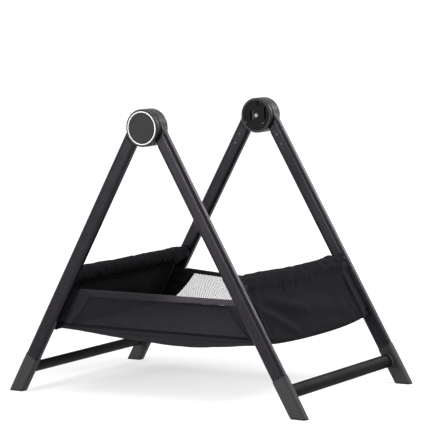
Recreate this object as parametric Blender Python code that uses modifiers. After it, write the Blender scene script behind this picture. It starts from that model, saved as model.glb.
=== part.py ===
"""Folding carrycot stand: two leg frames hinged at round hubs, with a cloth basket hung between them.

X runs along the open stand, Y across it from the front hub to the back hub, and Z up from the floor.
Each leg frame is modelled in its own axes, where its legs stand upright and the fold axis is the origin.
Sizes are in metres.
"""
import math

import bmesh
import bpy
from mathutils import Matrix, Vector

# Whole stand
HUB_HEIGHT = 0.580
LEG_LEAN = math.radians(29.7)
LEG_PLANE = 0.225
FOLD_TRAVEL = math.radians(59.0)
FIT = 0.0003

# Leg tube
LEG_OFFSET = 0.0213
LEG_WIDTH = 0.0326
LEG_DEPTH = 0.0195
LEG_EDGE_FLAT = 0.0085
LEG_WALL = 0.0015
LEG_FLAT_SHARE = 0.24
LEG_SHOULDER_SWEEP = math.radians(62)
LEG_DROP = (HUB_HEIGHT + LEG_OFFSET * math.sin(LEG_LEAN)) / math.cos(LEG_LEAN)

# Cross rails: an oval one low down between the feet, and a round one in the basket's sleeve.
# A drop is measured down the leg from the fold axis, and a lift up it from the floor.
LOWER_RAIL_RADII = (0.0065, 0.0145)
UPPER_RAIL_RADII = (0.008, 0.008)
RAIL_WALL = 0.0012
LOWER_RAIL_LIFT = 0.0587
LOWER_RAIL_DROP = LEG_DROP - LOWER_RAIL_LIFT
UPPER_RAIL_DROP = 0.3776

# Foot moulding and its rubber pad
FOOT_ABOVE_RAIL = 0.0316
FOOT_TOP = LOWER_RAIL_DROP - FOOT_ABOVE_RAIL
FOOT_LIP = 0.0004
FOOT_FLAT_SHARE = 0.34
FOOT_EDGE_GROW = 0.0012
FOOT_SPIGOT = 0.035
PAD_THICKNESS = 0.003
PAD_INSET = 0.0006

# Sockets that take the rails' ends
SOCKET_WALL = 0.0025
FOOT_BOSS = 0.009
FOOT_POCKET = 0.014
BRACKET_FLANGE = 0.0025
BRACKET_FLANGE_RIM = 0.003
BRACKET_COLLAR = 0.007
BRACKET_FLOOR = 0.002
BRACKET_PLUG_RADIUS = 0.005
BRACKET_PLUG_LENGTH = 0.004
BRACKET_STEPS = 18

# Hub: distances outward from the leg plane are called reach
HUB_RADIUS = 0.0392
NECK_LENGTH = 0.0098
LEG_END_RADIUS = HUB_RADIUS + NECK_LENGTH
HUB_FACE = 0.0215
HUB_BACK = 0.0195
HUB_SEAM = 0.0095
HUB_SEAM_GAP = 0.0011
HUB_RIM_BEVEL = 0.0022
HUB_RIM_SHOULDER = 0.3 * HUB_RIM_BEVEL
HUB_CLEARANCE = 0.0011
NECK_ROOT_DROP = 0.014
NECK_STEP = 0.0006
NECK_SPIGOT_END = 0.097
PIVOT_RADIUS = 0.004
PIVOT_HEAD_RADIUS = 0.008
PIVOT_HEAD = 0.0024
PIVOT_TAIL_RADIUS = 0.0055
PIVOT_TAIL = 0.004
PIVOT_DOME = 0.001
WASHER_RADIUS = 0.013

# Pockets that thin the neck of each outer knuckle, as corners given outward from the leg's line
# and down from the disc's rim
NECK_POCKETS = (
    ((0.0105, -0.0130), (0.0135, -0.0122), (0.0109, -0.0037)),
    ((0.0027, -0.0052), (0.0059, -0.0042), (0.0033, 0.0000)),
)
NECK_POCKET_DEPTH = 0.005

# Push button, its trim ring and spring
BUTTON_RADIUS = 0.0316
BUTTON_PROUD = 0.0005
BUTTON_FACE = 0.0026
BUTTON_EDGE = 0.0008
BUTTON_SKIRT = 0.0014
BUTTON_SKIRT_WALL = 0.003
BUTTON_BORE_REACH = 0.0145
BUTTON_SIDE_GAP = 0.0004
PIVOT_BORE_REACH = 0.0125
RING_WIDTH = 0.0029
RING_THICKNESS = 0.0016
RING_CROWN = 0.0005
SPRING_RADIUS = 0.014
SPRING_WIRE = 0.001
SPRING_TURNS = 2.25
SPRING_STEPS = 10

# Adapter socket in the inner face of each hub
SOCKET_PLATE_RADIUS = 0.034
SOCKET_PLATE = 0.005
SOCKET_POCKET = (-0.015, -0.005, -0.0105, 0.009)
SOCKET_SLOT = (0.0215, 0.0265, -0.0085, 0.0185)
SOCKET_NOTCH = (0.003, 0.016, 0.022, 0.034)
SOCKET_NOTCH_DEPTH = 0.003
SCREW_PLACES = ((-0.027, -0.016), (0.0176, -0.0173))
SCREW_HEAD_RADIUS = 0.0026
SCREW_HEAD = 0.0016
SCREW_RADIUS = 0.0015
SCREW_BITE = 0.0022
SCREW_CROWN = 0.0003
SCREW_CROWN_SHARE = 0.7
SCREW_EDGE = 0.0004
CUT_PAST = 0.002

# Fold stop pin and its track
STOP_RADIUS = 0.003
STOP_ORBIT = 0.026
STOP_DEPTH = 0.0075
STOP_REACH = 0.0024
STOP_GAP = 0.0004
TRACK_STEPS = 8
TRACK_END_STEPS = 4

# Blind rivets through the inner wall of each leg
RIVET_DROPS = (0.061, 0.0845)
RIVET_RADIUS = 0.0024
RIVET_HEAD_RADIUS = 0.0042
RIVET_HEAD = 0.0014
RIVET_LENGTH = 0.012

# Domed heads of rivets and studs, as shares of the head's height and radius
HEAD_CROWN_SHARE = 0.45
HEAD_FLAT_SHARE = 0.6

# Cloth basket
CLOTH = 0.0022
SLEEVE_RADII = (0.0105, 0.0167)
SLEEVE_SLACK = (0.0012, 0.0068)
SLEEVE_SLACK_RATE = 2.2
SLEEVE_START = math.radians(205)
SLEEVE_SWEEP = math.radians(-310)
SLEEVE_STEPS = 10
SLEEVE_TAIL = 0.026
SLEEVE_TAIL_GAP = 0.0034
SLEEVE_GATHER = 0.0007
PANEL_ABOVE_FOOT = 0.0721
END_PANEL_DROP = FOOT_TOP - PANEL_ABOVE_FOOT
END_PANEL_FOLD = 0.005
END_PANEL_LIFT = 0.003
PANEL_STATIONS = 13
PANEL_STEPS = 6
# Waves in the hanging panel, as (waves, phase, share) of the billow and of the slanting crease
PANEL_BILLOW = (2.6, 0.6, 0.45)
PANEL_CREASE = (1.7, 1.1, 0.55)
BASKET_INSET = 0.0205
BASKET_HALF_WIDTH = LEG_PLANE - BASKET_INSET
SIDE_PANEL_CLOTH = 0.0016
SIDE_HEIGHT = 0.0878
SIDE_TOP = (LEG_DROP - END_PANEL_DROP) * math.cos(LEG_LEAN) + SIDE_HEIGHT
SIDE_SAG = (0.0, 0.0118)
SIDE_SAG_POWER = 1.5
SIDE_SPANS = 8
HEM_HEIGHTS = (0.0125, 0.0085)
HEM_THICKNESS = 0.0036
FLOOR_SAG = 0.034
FLOOR_FOLD = 0.003
FLOOR_COLUMNS = 14
FLOOR_ROWS = 8
FLOOR_BOWL_POWERS = (2.2, 2.5)
FLOOR_CREASE_WAVES = (5, 3)
NET_COLUMNS = 15
NET_ROWS = 4
NET_STRAND = 0.0024
NET_TOP_MARGIN = 0.055
NET_BOTTOM_MARGIN = 0.036
TAB_HALF_LENGTH = 0.010
TAB_WIDTH = 0.0155
TAB_BRIDGE_SHARE = 0.9
TAB_SETBACK = 0.0175
TAB_DROP = END_PANEL_DROP - TAB_SETBACK
STUD_OFFSET = 0.0085
STUD_RADIUS = 0.002
STUD_HEAD_RADIUS = 0.0045
STUD_HEAD = 0.0022
STUD_LENGTH = 0.006

SECTION_STEPS = 3
ROUND_STEPS = 32
SMALL_STEPS = 10
BORE_STEPS = 16
PIN_STEPS = 20
LEG_END_STEPS = 48

LEFT, RIGHT = -1, 1
FRONT, BACK = -1, 1
SIDE_NAMES = {LEFT: "left", RIGHT: "right"}
END_NAMES = {FRONT: "front", BACK: "back"}

FINISHES = {
    "anodised_leg": ((0.040, 0.040, 0.043), 0.38, 0.55),
    "hub_plastic": ((0.045, 0.044, 0.047), 0.5, 0.0),
    "foot_plastic": ((0.062, 0.059, 0.064), 0.6, 0.0),
    "button_plastic": ((0.058, 0.056, 0.060), 0.5, 0.0),
    "trim_ring": ((0.86, 0.86, 0.85), 0.3, 0.0),
    "foot_rubber": ((0.018, 0.018, 0.018), 0.85, 0.0),
    "bright_steel": ((0.62, 0.62, 0.63), 0.3, 1.0),
    "nylon": ((0.55, 0.54, 0.50), 0.5, 0.0),
    "basket_cloth": ((0.018, 0.018, 0.020), 0.9, 0.0),
    "basket_mesh": ((0.030, 0.030, 0.033), 0.8, 0.0),
}


def start_scene():
    """Clears the scene and makes the collections for the stand and for its cutters."""
    for item in list(bpy.data.objects):
        bpy.data.objects.remove(item, do_unlink=True)
    groups = []
    for name in ("carrycot_stand", "cutters"):
        group = bpy.data.collections.new(name)
        bpy.context.scene.collection.children.link(group)
        groups.append(group)
    return groups


PARTS, CUTTERS = start_scene()


def finish(name):
    """Returns the named material, made on first use."""
    material = bpy.data.materials.get(name)
    if material:
        return material
    colour, roughness, metallic = FINISHES[name]
    material = bpy.data.materials.new(name)
    material.use_nodes = True
    shader = material.node_tree.nodes["Principled BSDF"]
    shader.inputs["Base Color"].default_value = (*colour, 1.0)
    shader.inputs["Roughness"].default_value = roughness
    shader.inputs["Metallic"].default_value = metallic
    material.diffuse_color = (*colour, 1.0)
    return material


def leg_frame(side):
    """Makes the empty on the fold axis whose axes stand along one frame's legs."""
    empty = bpy.data.objects.new(f"{SIDE_NAMES[side]}_fold_axis", None)
    empty.location = (0, 0, HUB_HEIGHT)
    empty.rotation_euler = (0, -side * LEG_LEAN, 0)
    CUTTERS.objects.link(empty)
    return empty


FRAMES = {side: leg_frame(side) for side in (LEFT, RIGHT)}


def frame_matrix(side):
    """The matrix from a leg frame's axes to the stand's."""
    return Matrix.Translation((0, 0, HUB_HEIGHT)) @ Matrix.Rotation(-side * LEG_LEAN, 4, "Y")


def add_object(name, mesh, look=None, parent=None, location=(0, 0, 0), rotation=(0, 0, 0)):
    """Links a mesh or curve as a part, or as a cutter if it has no look."""
    item = bpy.data.objects.new(name, mesh)
    item.parent = parent
    item.location = location
    item.rotation_euler = rotation
    if look:
        item.data.materials.append(finish(look))
        PARTS.objects.link(item)
    else:
        item.hide_render = True
        item.display_type = "WIRE"
        CUTTERS.objects.link(item)
    return item


def to_mesh(bm, name):
    """Turns a bmesh into a smooth-shaded mesh with sharp edges kept, faces pointing out."""
    bmesh.ops.recalc_face_normals(bm, faces=bm.faces)
    mesh = bpy.data.meshes.new(name)
    bm.to_mesh(mesh)
    bm.free()
    mesh.shade_smooth()
    mesh.set_sharp_from_angle(angle=math.radians(35))
    return mesh


def combine(item, tool, operation):
    """Adds a Boolean modifier that cuts, joins or meets an object with a tool."""
    modifier = item.modifiers.new(f"{operation.lower()}_{tool.name}", "BOOLEAN")
    modifier.object = tool
    modifier.operation = operation
    modifier.solver = "EXACT"


def cut(item, *tools):
    """Cuts each tool from an object."""
    for tool in tools:
        combine(item, tool, "DIFFERENCE")


def join(item, *tools):
    """Joins each tool to an object."""
    for tool in tools:
        combine(item, tool, "UNION")


def extruded(outline, travel, hole=None):
    """Extrudes a flat outline of 3D points by a vector, with an optional hole outline."""
    bm = bmesh.new()

    def loop(points):
        verts = [bm.verts.new(p) for p in points]
        return [bm.edges.new((a, b)) for a, b in zip(verts, verts[1:] + verts[:1])], verts

    edges, verts = loop(outline)
    if hole:
        inner, _ = loop(hole)
        bmesh.ops.bridge_loops(bm, edges=edges + inner)
    else:
        bm.faces.new(verts)
    grown = bmesh.ops.extrude_face_region(bm, geom=bm.faces[:], use_keep_orig=True)
    moved = [v for v in grown["geom"] if isinstance(v, bmesh.types.BMVert)]
    bmesh.ops.translate(bm, verts=moved, vec=travel)
    return bm


def ellipse(x, z, x_radius, z_radius, steps, y=0.0):
    """Points of an ellipse in a plane across Y."""
    turns = [2 * math.pi * i / steps for i in range(steps)]
    return [(x + x_radius * math.cos(t), y, z + z_radius * math.sin(t)) for t in turns]


def block(x0, x1, y0, y1, z0, z1):
    """A box between two corners."""
    bm = bmesh.new()
    middle = Matrix.Translation(((x0 + x1) / 2, (y0 + y1) / 2, (z0 + z1) / 2))
    size = Matrix.Diagonal((x1 - x0, y1 - y0, z1 - z0, 1))
    bmesh.ops.create_cube(bm, size=1, matrix=middle @ size)
    return bm


def rod(x, z, radius, y0, y1, steps):
    """A cylinder along Y between two distances."""
    bm = bmesh.new()
    middle = Matrix.Translation((x, (y0 + y1) / 2, z))
    turn = Matrix.Rotation(math.pi / 2, 4, "X") @ Matrix.Rotation(-math.pi / 2, 4, "Z")
    bmesh.ops.create_cone(bm, cap_ends=True, segments=steps, radius1=radius, radius2=radius,
                          depth=abs(y1 - y0), matrix=middle @ turn)
    return bm


def round_tool(name, side, radius, y0, y1, x, z, steps=SMALL_STEPS):
    """A cylinder along Y in a leg frame's axes, used as a cutter or as something to join."""
    return add_object(name, to_mesh(rod(x, z, radius, y0, y1, steps), name), None, FRAMES[side])


def leg_section(side, grow, flat_share=LEG_FLAT_SHARE, edge_grow=None):
    """The leg's outline: flat faces across Y, drawn in to a narrow flat edge on each side."""
    half_width = LEG_WIDTH / 2 + grow
    half_depth = LEG_DEPTH / 2 + grow
    half_edge = LEG_EDGE_FLAT / 2 + (grow if edge_grow is None else edge_grow)
    half_flat = LEG_WIDTH * flat_share
    sweep = LEG_SHOULDER_SWEEP
    quarter = []
    for step in range(SECTION_STEPS + 1):
        turn = sweep * step / SECTION_STEPS
        across = math.sin(turn) / math.sin(sweep)
        rise = (math.cos(turn) - math.cos(sweep)) / (1 - math.cos(sweep))
        quarter.append((half_flat + (half_width - half_flat) * across,
                        half_edge + (half_depth - half_edge) * rise))
    upper = quarter[::-1] + [(-x, y) for x, y in quarter]
    lower = [(-x, -y) for x, y in upper]
    return [(side * (LEG_OFFSET + x), y, 0.0) for x, y in upper + lower]


def leg_prism(side, end, grow, top, bottom, hole_grow=None, **shape):
    """A length of the leg's section, between two distances down the leg."""
    def ring(size):
        return [(x, y + end * LEG_PLANE, -top) for x, y, _ in leg_section(side, size, **shape)]

    hole = ring(hole_grow) if hole_grow is not None else None
    return extruded(ring(grow), (0, 0, top - bottom), hole)


def trim_level(bm, side, height, keep_above):
    """Cuts a solid in a leg frame's axes at a height above the floor, and closes the cut."""
    back = frame_matrix(side).inverted()
    point = back @ Vector((0, 0, height))
    normal = back.to_3x3() @ Vector((0, 0, -1 if keep_above else 1))
    geometry = bm.verts[:] + bm.edges[:] + bm.faces[:]
    found = bmesh.ops.bisect_plane(bm, geom=geometry, plane_co=point, plane_no=normal, clear_outer=True)
    edges = [e for e in found["geom_cut"] if isinstance(e, bmesh.types.BMEdge)]
    bmesh.ops.edgeloop_fill(bm, edges=edges)


def turned(name, look, profile, side, end, steps=ROUND_STEPS, closed=False):
    """Turns a profile of (radius, reach) points about the fold axis, reach growing outward."""
    bm = bmesh.new()
    verts = [bm.verts.new((radius, 0, reach)) for radius, reach in profile]
    pairs = list(zip(verts, verts[1:]))
    if closed:
        pairs.append((verts[-1], verts[0]))
    for pair in pairs:
        bm.edges.new(pair)
    mesh = bpy.data.meshes.new(name)
    bm.to_mesh(mesh)
    bm.free()
    turn = (-end * math.pi / 2, 0, 0)
    item = add_object(name, mesh, look, FRAMES[side], (0, end * LEG_PLANE, 0), turn)
    screw = item.modifiers.new("turn", "SCREW")
    screw.steps = steps
    screw.render_steps = steps
    screw.use_merge_vertices = True
    screw.merge_threshold = 0.0001
    screw.use_smooth_shade = True
    return item


def hub_layer(side, end):
    """The span in Y, from the leg plane, of a hub disc: left discs lie in front of right ones."""
    if side == LEFT:
        return -(HUB_FACE if end == FRONT else HUB_BACK), -HUB_SEAM
    return -HUB_SEAM + HUB_SEAM_GAP, HUB_BACK if end == FRONT else HUB_FACE


def outer_side(end):
    """The frame whose knuckle is the outer one at this end of the stand."""
    return LEFT if end == FRONT else RIGHT


def stop_track(name, side, end):
    """The curved groove that the stop pin runs in, from the spread stand to the folded one."""
    width = STOP_RADIUS + STOP_GAP
    start = math.pi / 2

    def spot(radius, angle):
        return (radius * math.cos(angle), 0.0, radius * math.sin(angle))

    outline = []
    for step in range(TRACK_STEPS + 1):
        outline.append(spot(STOP_ORBIT + width, start - FOLD_TRAVEL * step / TRACK_STEPS))
    for angle, sign in ((start - FOLD_TRAVEL, 1), (start, -1)):
        middle = Vector(spot(STOP_ORBIT, angle))
        out = Vector(spot(1, angle))
        along = Vector(spot(1, angle - math.pi / 2))
        for step in range(1, TRACK_END_STEPS):
            turn = math.pi * step / TRACK_END_STEPS
            bulge = math.cos(turn) * sign * out + math.sin(turn) * sign * along
            outline.append(tuple(middle + width * bulge))
        if sign > 0:
            for back in range(TRACK_STEPS, -1, -1):
                outline.append(spot(STOP_ORBIT - width, start - FOLD_TRAVEL * back / TRACK_STEPS))
    face = end * LEG_PLANE - HUB_SEAM
    depth = STOP_REACH + STOP_GAP
    bm = extruded([(x, face - depth, z) for x, _, z in outline], (0, depth + FIT, 0))
    return add_object(name, to_mesh(bm, name), None, FRAMES[side], rotation=(0, side * LEG_LEAN, 0))


def neck(name, side, end):
    """The tapered neck from a hub disc down to the leg tube."""
    low, high = hub_layer(side, end)
    slope = HUB_RIM_BEVEL
    inner, outer = LEG_OFFSET - LEG_WIDTH / 2 + slope, LEG_OFFSET + LEG_WIDTH / 2 - slope
    bm = bmesh.new()
    for y in (low + slope, high - slope):
        for x in (inner, outer):
            bm.verts.new((side * x, y + end * LEG_PLANE, -NECK_ROOT_DROP))
    for x, y, _ in leg_section(side, -NECK_STEP):
        drop = math.sqrt((LEG_END_RADIUS - FIT) ** 2 - x ** 2)
        bm.verts.new((x, y + end * LEG_PLANE, -drop))
    bmesh.ops.convex_hull(bm, input=bm.verts[:])
    return add_object(name, to_mesh(bm, name), None, FRAMES[side])


def neck_pockets(label, side, end):
    """The pockets moulded into the inward face of an outer knuckle's neck."""
    low, high = hub_layer(side, end)
    face = end * LEG_PLANE + (high if side == LEFT else low)
    tools = []
    for index, corners in enumerate(NECK_POCKETS):
        start = face + end * NECK_POCKET_DEPTH
        outline = [(side * (LEG_OFFSET + x), start, -HUB_RADIUS - drop) for x, drop in corners]
        bm = extruded(outline, (0, -end * 2 * NECK_POCKET_DEPTH, 0))
        name = f"{label}_neck_pocket_{index}"
        tools.append(add_object(name, to_mesh(bm, name), None, FRAMES[side]))
    return tools


def disc_clearance(name, side, end):
    """The space that a knuckle leaves round the other frame's disc."""
    low, high = hub_layer(side, end)
    middle = end * LEG_PLANE
    if side == LEFT:
        span = (middle + high, middle + 2 * HUB_FACE)
    else:
        span = (middle - 2 * HUB_FACE, middle + low)
    return round_tool(name, side, HUB_RADIUS + HUB_CLEARANCE, *span, 0, 0, ROUND_STEPS)


def knuckle(side, end):
    """A hub disc with its neck and the spigot that fills the top of the leg tube."""
    label = f"{SIDE_NAMES[side]}_{END_NAMES[end]}"
    low, high = hub_layer(side, end)
    reach = sorted((end * low, end * high))
    bevel = HUB_RIM_BEVEL
    shoulder = HUB_RIM_SHOULDER
    profile = [
        (0, reach[1]), (HUB_RADIUS - bevel, reach[1]), (HUB_RADIUS - shoulder, reach[1] - shoulder),
        (HUB_RADIUS, reach[1] - bevel), (HUB_RADIUS, reach[0] + bevel),
        (HUB_RADIUS - shoulder, reach[0] + shoulder), (HUB_RADIUS - bevel, reach[0]), (0, reach[0]),
    ]
    item = turned(f"{label}_knuckle", "hub_plastic", profile, side, end)
    spigot = leg_prism(side, end, -LEG_WALL - FIT, NECK_ROOT_DROP, NECK_SPIGOT_END)
    spigot = add_object(f"{label}_spigot", to_mesh(spigot, "spigot"), None, FRAMES[side])
    join(item, neck(f"{label}_neck", side, end), spigot)
    cut(item, disc_clearance(f"{label}_clearance", side, end))
    if side == outer_side(end):
        cut(item, button_bore(f"{label}_button_bore", side, end), *neck_pockets(label, side, end))
    else:
        cut(item, socket_bore(f"{label}_socket_bore", side, end), *socket_screw_bores(label, side, end))
    bore_radius = PIVOT_RADIUS + FIT
    middle = end * LEG_PLANE
    span = (middle - 2 * HUB_FACE, middle + 2 * HUB_FACE)
    cut(item, round_tool(f"{label}_pivot_bore", side, bore_radius, *span, 0, 0, BORE_STEPS))
    if side == LEFT:
        cut(item, stop_track(f"{label}_stop_track", side, end))
    else:
        face = middle + low
        x, z = stop_pin_place()
        radius = STOP_RADIUS + FIT
        cut(item, round_tool(f"{label}_stop_bore", side, radius, face - FIT, face + STOP_DEPTH + FIT, x, z))
    cut(item, *rivet_bores(label, side, end))
    return item


def stop_pin_place():
    """The stop pin's centre in the right frame's axes: straight above the fold axis when spread."""
    return STOP_ORBIT * math.sin(LEG_LEAN), STOP_ORBIT * math.cos(LEG_LEAN)


def stop_pin(end):
    """The pin fixed in the right knuckle that runs in the left knuckle's track."""
    name = f"{END_NAMES[end]}_stop_pin"
    low, _ = hub_layer(RIGHT, end)
    face = end * LEG_PLANE + low
    tip = end * LEG_PLANE - HUB_SEAM - STOP_REACH
    x, z = stop_pin_place()
    bm = rod(x, z, STOP_RADIUS, tip, face + STOP_DEPTH, SMALL_STEPS)
    add_object(name, to_mesh(bm, name), "bright_steel", FRAMES[RIGHT])


def button_bore(name, side, end):
    """The stepped bore in a hub's outer face for the button, its trim ring and the pivot's head."""
    far = 2 * HUB_FACE
    ring_radius = BUTTON_RADIUS + BUTTON_SIDE_GAP + FIT + RING_WIDTH + FIT
    ring_floor = HUB_FACE - RING_THICKNESS
    bore = BUTTON_RADIUS + BUTTON_SIDE_GAP
    head = PIVOT_HEAD_RADIUS + BUTTON_SIDE_GAP
    profile = [
        (0, far), (ring_radius, far), (ring_radius, ring_floor), (bore, ring_floor),
        (bore, BUTTON_BORE_REACH), (head, BUTTON_BORE_REACH), (head, PIVOT_BORE_REACH),
        (0, PIVOT_BORE_REACH),
    ]
    return turned(name, None, profile, side, end)


def button(end):
    """The push button in a hub's outer face, a shallow cup with its open side inward."""
    front = HUB_FACE + BUTTON_PROUD
    under = front - BUTTON_FACE
    skirt = under - BUTTON_SKIRT
    edge = BUTTON_EDGE
    inside = BUTTON_RADIUS - BUTTON_SKIRT_WALL
    profile = [
        (0, front), (BUTTON_RADIUS - edge, front), (BUTTON_RADIUS, front - edge), (BUTTON_RADIUS, skirt),
        (inside, skirt), (inside, under), (0, under),
    ]
    turned(f"{END_NAMES[end]}_release_button", "button_plastic", profile, outer_side(end), end)


def trim_ring(end):
    """The pale ring let into the hub's face around the button."""
    inner = BUTTON_RADIUS + BUTTON_SIDE_GAP + FIT
    outer = inner + RING_WIDTH
    bottom = HUB_FACE - RING_THICKNESS + FIT
    top = bottom + RING_THICKNESS
    crown = RING_CROWN
    profile = [
        (outer - crown, top), (outer, top - crown), (outer, bottom),
        (inner, bottom), (inner, top - crown), (inner + crown, top),
    ]
    turned(f"{END_NAMES[end]}_trim_ring", "trim_ring", profile, outer_side(end), end, closed=True)


def button_spring(end):
    """The spring that returns the button, standing on the bore's floor; prints its least gap to itself."""
    low = BUTTON_BORE_REACH + FIT + SPRING_WIRE / 2
    high = HUB_FACE + BUTTON_PROUD - BUTTON_FACE - FIT - SPRING_WIRE / 2
    count = int(SPRING_TURNS * SPRING_STEPS) + 1
    curve = bpy.data.curves.new("button_spring", "CURVE")
    curve.dimensions = "3D"
    curve.bevel_depth = SPRING_WIRE / 2
    curve.bevel_resolution = 1
    curve.use_fill_caps = True
    spline = curve.splines.new("POLY")
    spline.points.add(count - 1)
    places = []
    for index in range(count):
        turn = 2 * math.pi * index / SPRING_STEPS
        rise = low + (high - low) * index / (count - 1)
        places.append(Vector((SPRING_RADIUS * math.cos(turn), SPRING_RADIUS * math.sin(turn), rise)))
        spline.points[index].co = (*places[-1], 1)
    gap = min((a - b).length for i, a in enumerate(places) for b in places[i + SPRING_STEPS // 2:])
    print(f"{END_NAMES[end]} button spring: least gap to itself {1000 * (gap - SPRING_WIRE):.2f} mm")
    turn = (-end * math.pi / 2, 0, 0)
    name = f"{END_NAMES[end]}_button_spring"
    side = outer_side(end)
    add_object(name, curve, "bright_steel", FRAMES[side], (0, end * LEG_PLANE, 0), turn)


def pivot_pin(end):
    """The headed pin that both knuckles turn on, its formed tail standing in the adapter socket."""
    head_seat = PIVOT_BORE_REACH + FIT
    tail_seat = -(HUB_BACK - SOCKET_PLATE)
    dome = PIVOT_DOME
    profile = [
        (0, head_seat + PIVOT_HEAD), (PIVOT_HEAD_RADIUS - dome, head_seat + PIVOT_HEAD),
        (PIVOT_HEAD_RADIUS, head_seat + PIVOT_HEAD - dome), (PIVOT_HEAD_RADIUS, head_seat),
        (PIVOT_RADIUS, head_seat), (PIVOT_RADIUS, tail_seat), (PIVOT_TAIL_RADIUS, tail_seat),
        (PIVOT_TAIL_RADIUS, tail_seat - PIVOT_TAIL + dome),
        (PIVOT_TAIL_RADIUS - dome, tail_seat - PIVOT_TAIL), (0, tail_seat - PIVOT_TAIL),
    ]
    turned(f"{END_NAMES[end]}_pivot_pin", "bright_steel", profile, outer_side(end), end, PIN_STEPS)


def hub_washer(end):
    """The nylon washer between the two knuckles."""
    middle = -(HUB_SEAM - HUB_SEAM_GAP / 2)
    half = HUB_SEAM_GAP / 2 - FIT
    low, high = sorted((end * (middle - half), end * (middle + half)))
    inner = PIVOT_RADIUS + FIT
    profile = [(WASHER_RADIUS, high), (WASHER_RADIUS, low), (inner, low), (inner, high)]
    turned(f"{END_NAMES[end]}_hub_washer", "nylon", profile, outer_side(end), end, PIN_STEPS, closed=True)


def socket_bore(name, side, end):
    """The round recess in a hub's inner face that the socket plate sits in."""
    floor = -(HUB_BACK - SOCKET_PLATE - FIT)
    radius = SOCKET_PLATE_RADIUS + FIT
    profile = [(0, floor), (radius, floor), (radius, -2 * HUB_FACE), (0, -2 * HUB_FACE)]
    return turned(name, None, profile, side, end)


def socket_side(end):
    """The frame whose knuckle carries the socket plate at this end."""
    return -outer_side(end)


def level(side):
    """The rotation that sets a piece in a leg frame's axes level with the floor."""
    return (0, side * LEG_LEAN, 0)


def socket_screw_bores(label, side, end):
    """Holes in the knuckle for the two screws of the socket plate."""
    tools = []
    floor = end * (LEG_PLANE - HUB_BACK + SOCKET_PLATE)
    for index, (x, z) in enumerate(SCREW_PLACES):
        bottom = floor + end * (SCREW_BITE + 2 * FIT)
        bm = rod(end * x, z, SCREW_RADIUS + FIT, floor - end * FIT, bottom, SMALL_STEPS)
        name = f"{label}_screw_bore_{index}"
        tools.append(add_object(name, to_mesh(bm, name), None, FRAMES[side], rotation=level(side)))
    return tools


def socket_plate(end):
    """The plate with the openings that the carrycot's adapter hooks into, and its two screws."""
    side = socket_side(end)
    face = end * (LEG_PLANE - HUB_BACK)
    label = f"{END_NAMES[end]}_adapter_socket"
    place = {"parent": FRAMES[side], "rotation": level(side)}
    bm = rod(0, 0, SOCKET_PLATE_RADIUS, face, face + end * SOCKET_PLATE, ROUND_STEPS)
    plate = add_object(label, to_mesh(bm, label), "hub_plastic", **place)
    past = CUT_PAST

    def opening(name, sizes, depth):
        x0, x1, z0, z1 = sizes
        across = sorted((end * x0, end * x1))
        through = sorted((face - end * past, face + end * depth))
        box = block(*across, *through, z0, z1)
        return add_object(f"{label}_{name}", to_mesh(box, name), None, **place)

    def round_hole(name, x, z, radius, start, depth, steps=SMALL_STEPS):
        hole = rod(x, z, radius, face + end * start, face + end * (start + depth), steps)
        return add_object(f"{label}_{name}", to_mesh(hole, name), None, **place)

    cut(plate, opening("pocket", SOCKET_POCKET, SOCKET_PLATE + past),
        opening("slot", SOCKET_SLOT, SOCKET_PLATE + past),
        opening("notch", SOCKET_NOTCH[:3] + (SOCKET_PLATE_RADIUS + past,), SOCKET_NOTCH_DEPTH),
        round_hole("tail_hole", 0, 0, PIVOT_TAIL_RADIUS + FIT, -past, SOCKET_PLATE + 2 * past,
                   BORE_STEPS))
    for index, (x, z) in enumerate(SCREW_PLACES):
        head_hole = SCREW_HEAD_RADIUS + FIT
        cut(plate, round_hole(f"screw_hole_{index}", end * x, z, SCREW_RADIUS + FIT, -past,
                              SOCKET_PLATE + 2 * past),
            round_hole(f"screw_seat_{index}", end * x, z, head_hole, -past, past + SCREW_HEAD))
        socket_screw(f"{label}_screw_{index + 1}", end, end * x, z, face)


def socket_screw(name, end, x, z, face):
    """One screw of the socket plate, its round head let into the plate."""
    bm = bmesh.new()
    seat = SCREW_HEAD - FIT
    profile = [
        (0, -SCREW_CROWN), (SCREW_HEAD_RADIUS * SCREW_CROWN_SHARE, -SCREW_CROWN),
        (SCREW_HEAD_RADIUS, SCREW_EDGE),
        (SCREW_HEAD_RADIUS, seat), (SCREW_RADIUS, seat), (SCREW_RADIUS, SOCKET_PLATE + SCREW_BITE),
        (0, SOCKET_PLATE + SCREW_BITE),
    ]
    verts = [bm.verts.new((radius, 0, -depth)) for radius, depth in profile]
    for pair in zip(verts, verts[1:]):
        bm.edges.new(pair)
    mesh = bpy.data.meshes.new(name)
    bm.to_mesh(mesh)
    bm.free()
    side = socket_side(end)
    place = Matrix.Rotation(side * LEG_LEAN, 4, "Y") @ Vector((x, face, z))
    item = add_object(name, mesh, "bright_steel", FRAMES[side], place, (end * math.pi / 2, 0, 0))
    screw = item.modifiers.new("turn", "SCREW")
    screw.steps = SMALL_STEPS
    screw.render_steps = SMALL_STEPS
    screw.use_merge_vertices = True
    screw.merge_threshold = 0.0001


def leg_inner_face(end):
    """The Y of a leg's inner flat face."""
    return end * (LEG_PLANE - LEG_DEPTH / 2)


def rivet_bores(label, side, end):
    """Holes for the rivets, through the inner wall of the leg and into the spigot."""
    face = leg_inner_face(end)
    start, stop = face - end * FIT * 4, face + end * (RIVET_LENGTH + FIT)
    tools = []
    for index, drop in enumerate(RIVET_DROPS):
        name = f"{label}_rivet_bore_{index}"
        tool = bpy.data.objects.get(name)
        if not tool:
            radius = RIVET_RADIUS + FIT
            tool = round_tool(name, side, radius, start, stop, side * LEG_OFFSET, -drop)
        tools.append(tool)
    return tools


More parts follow.
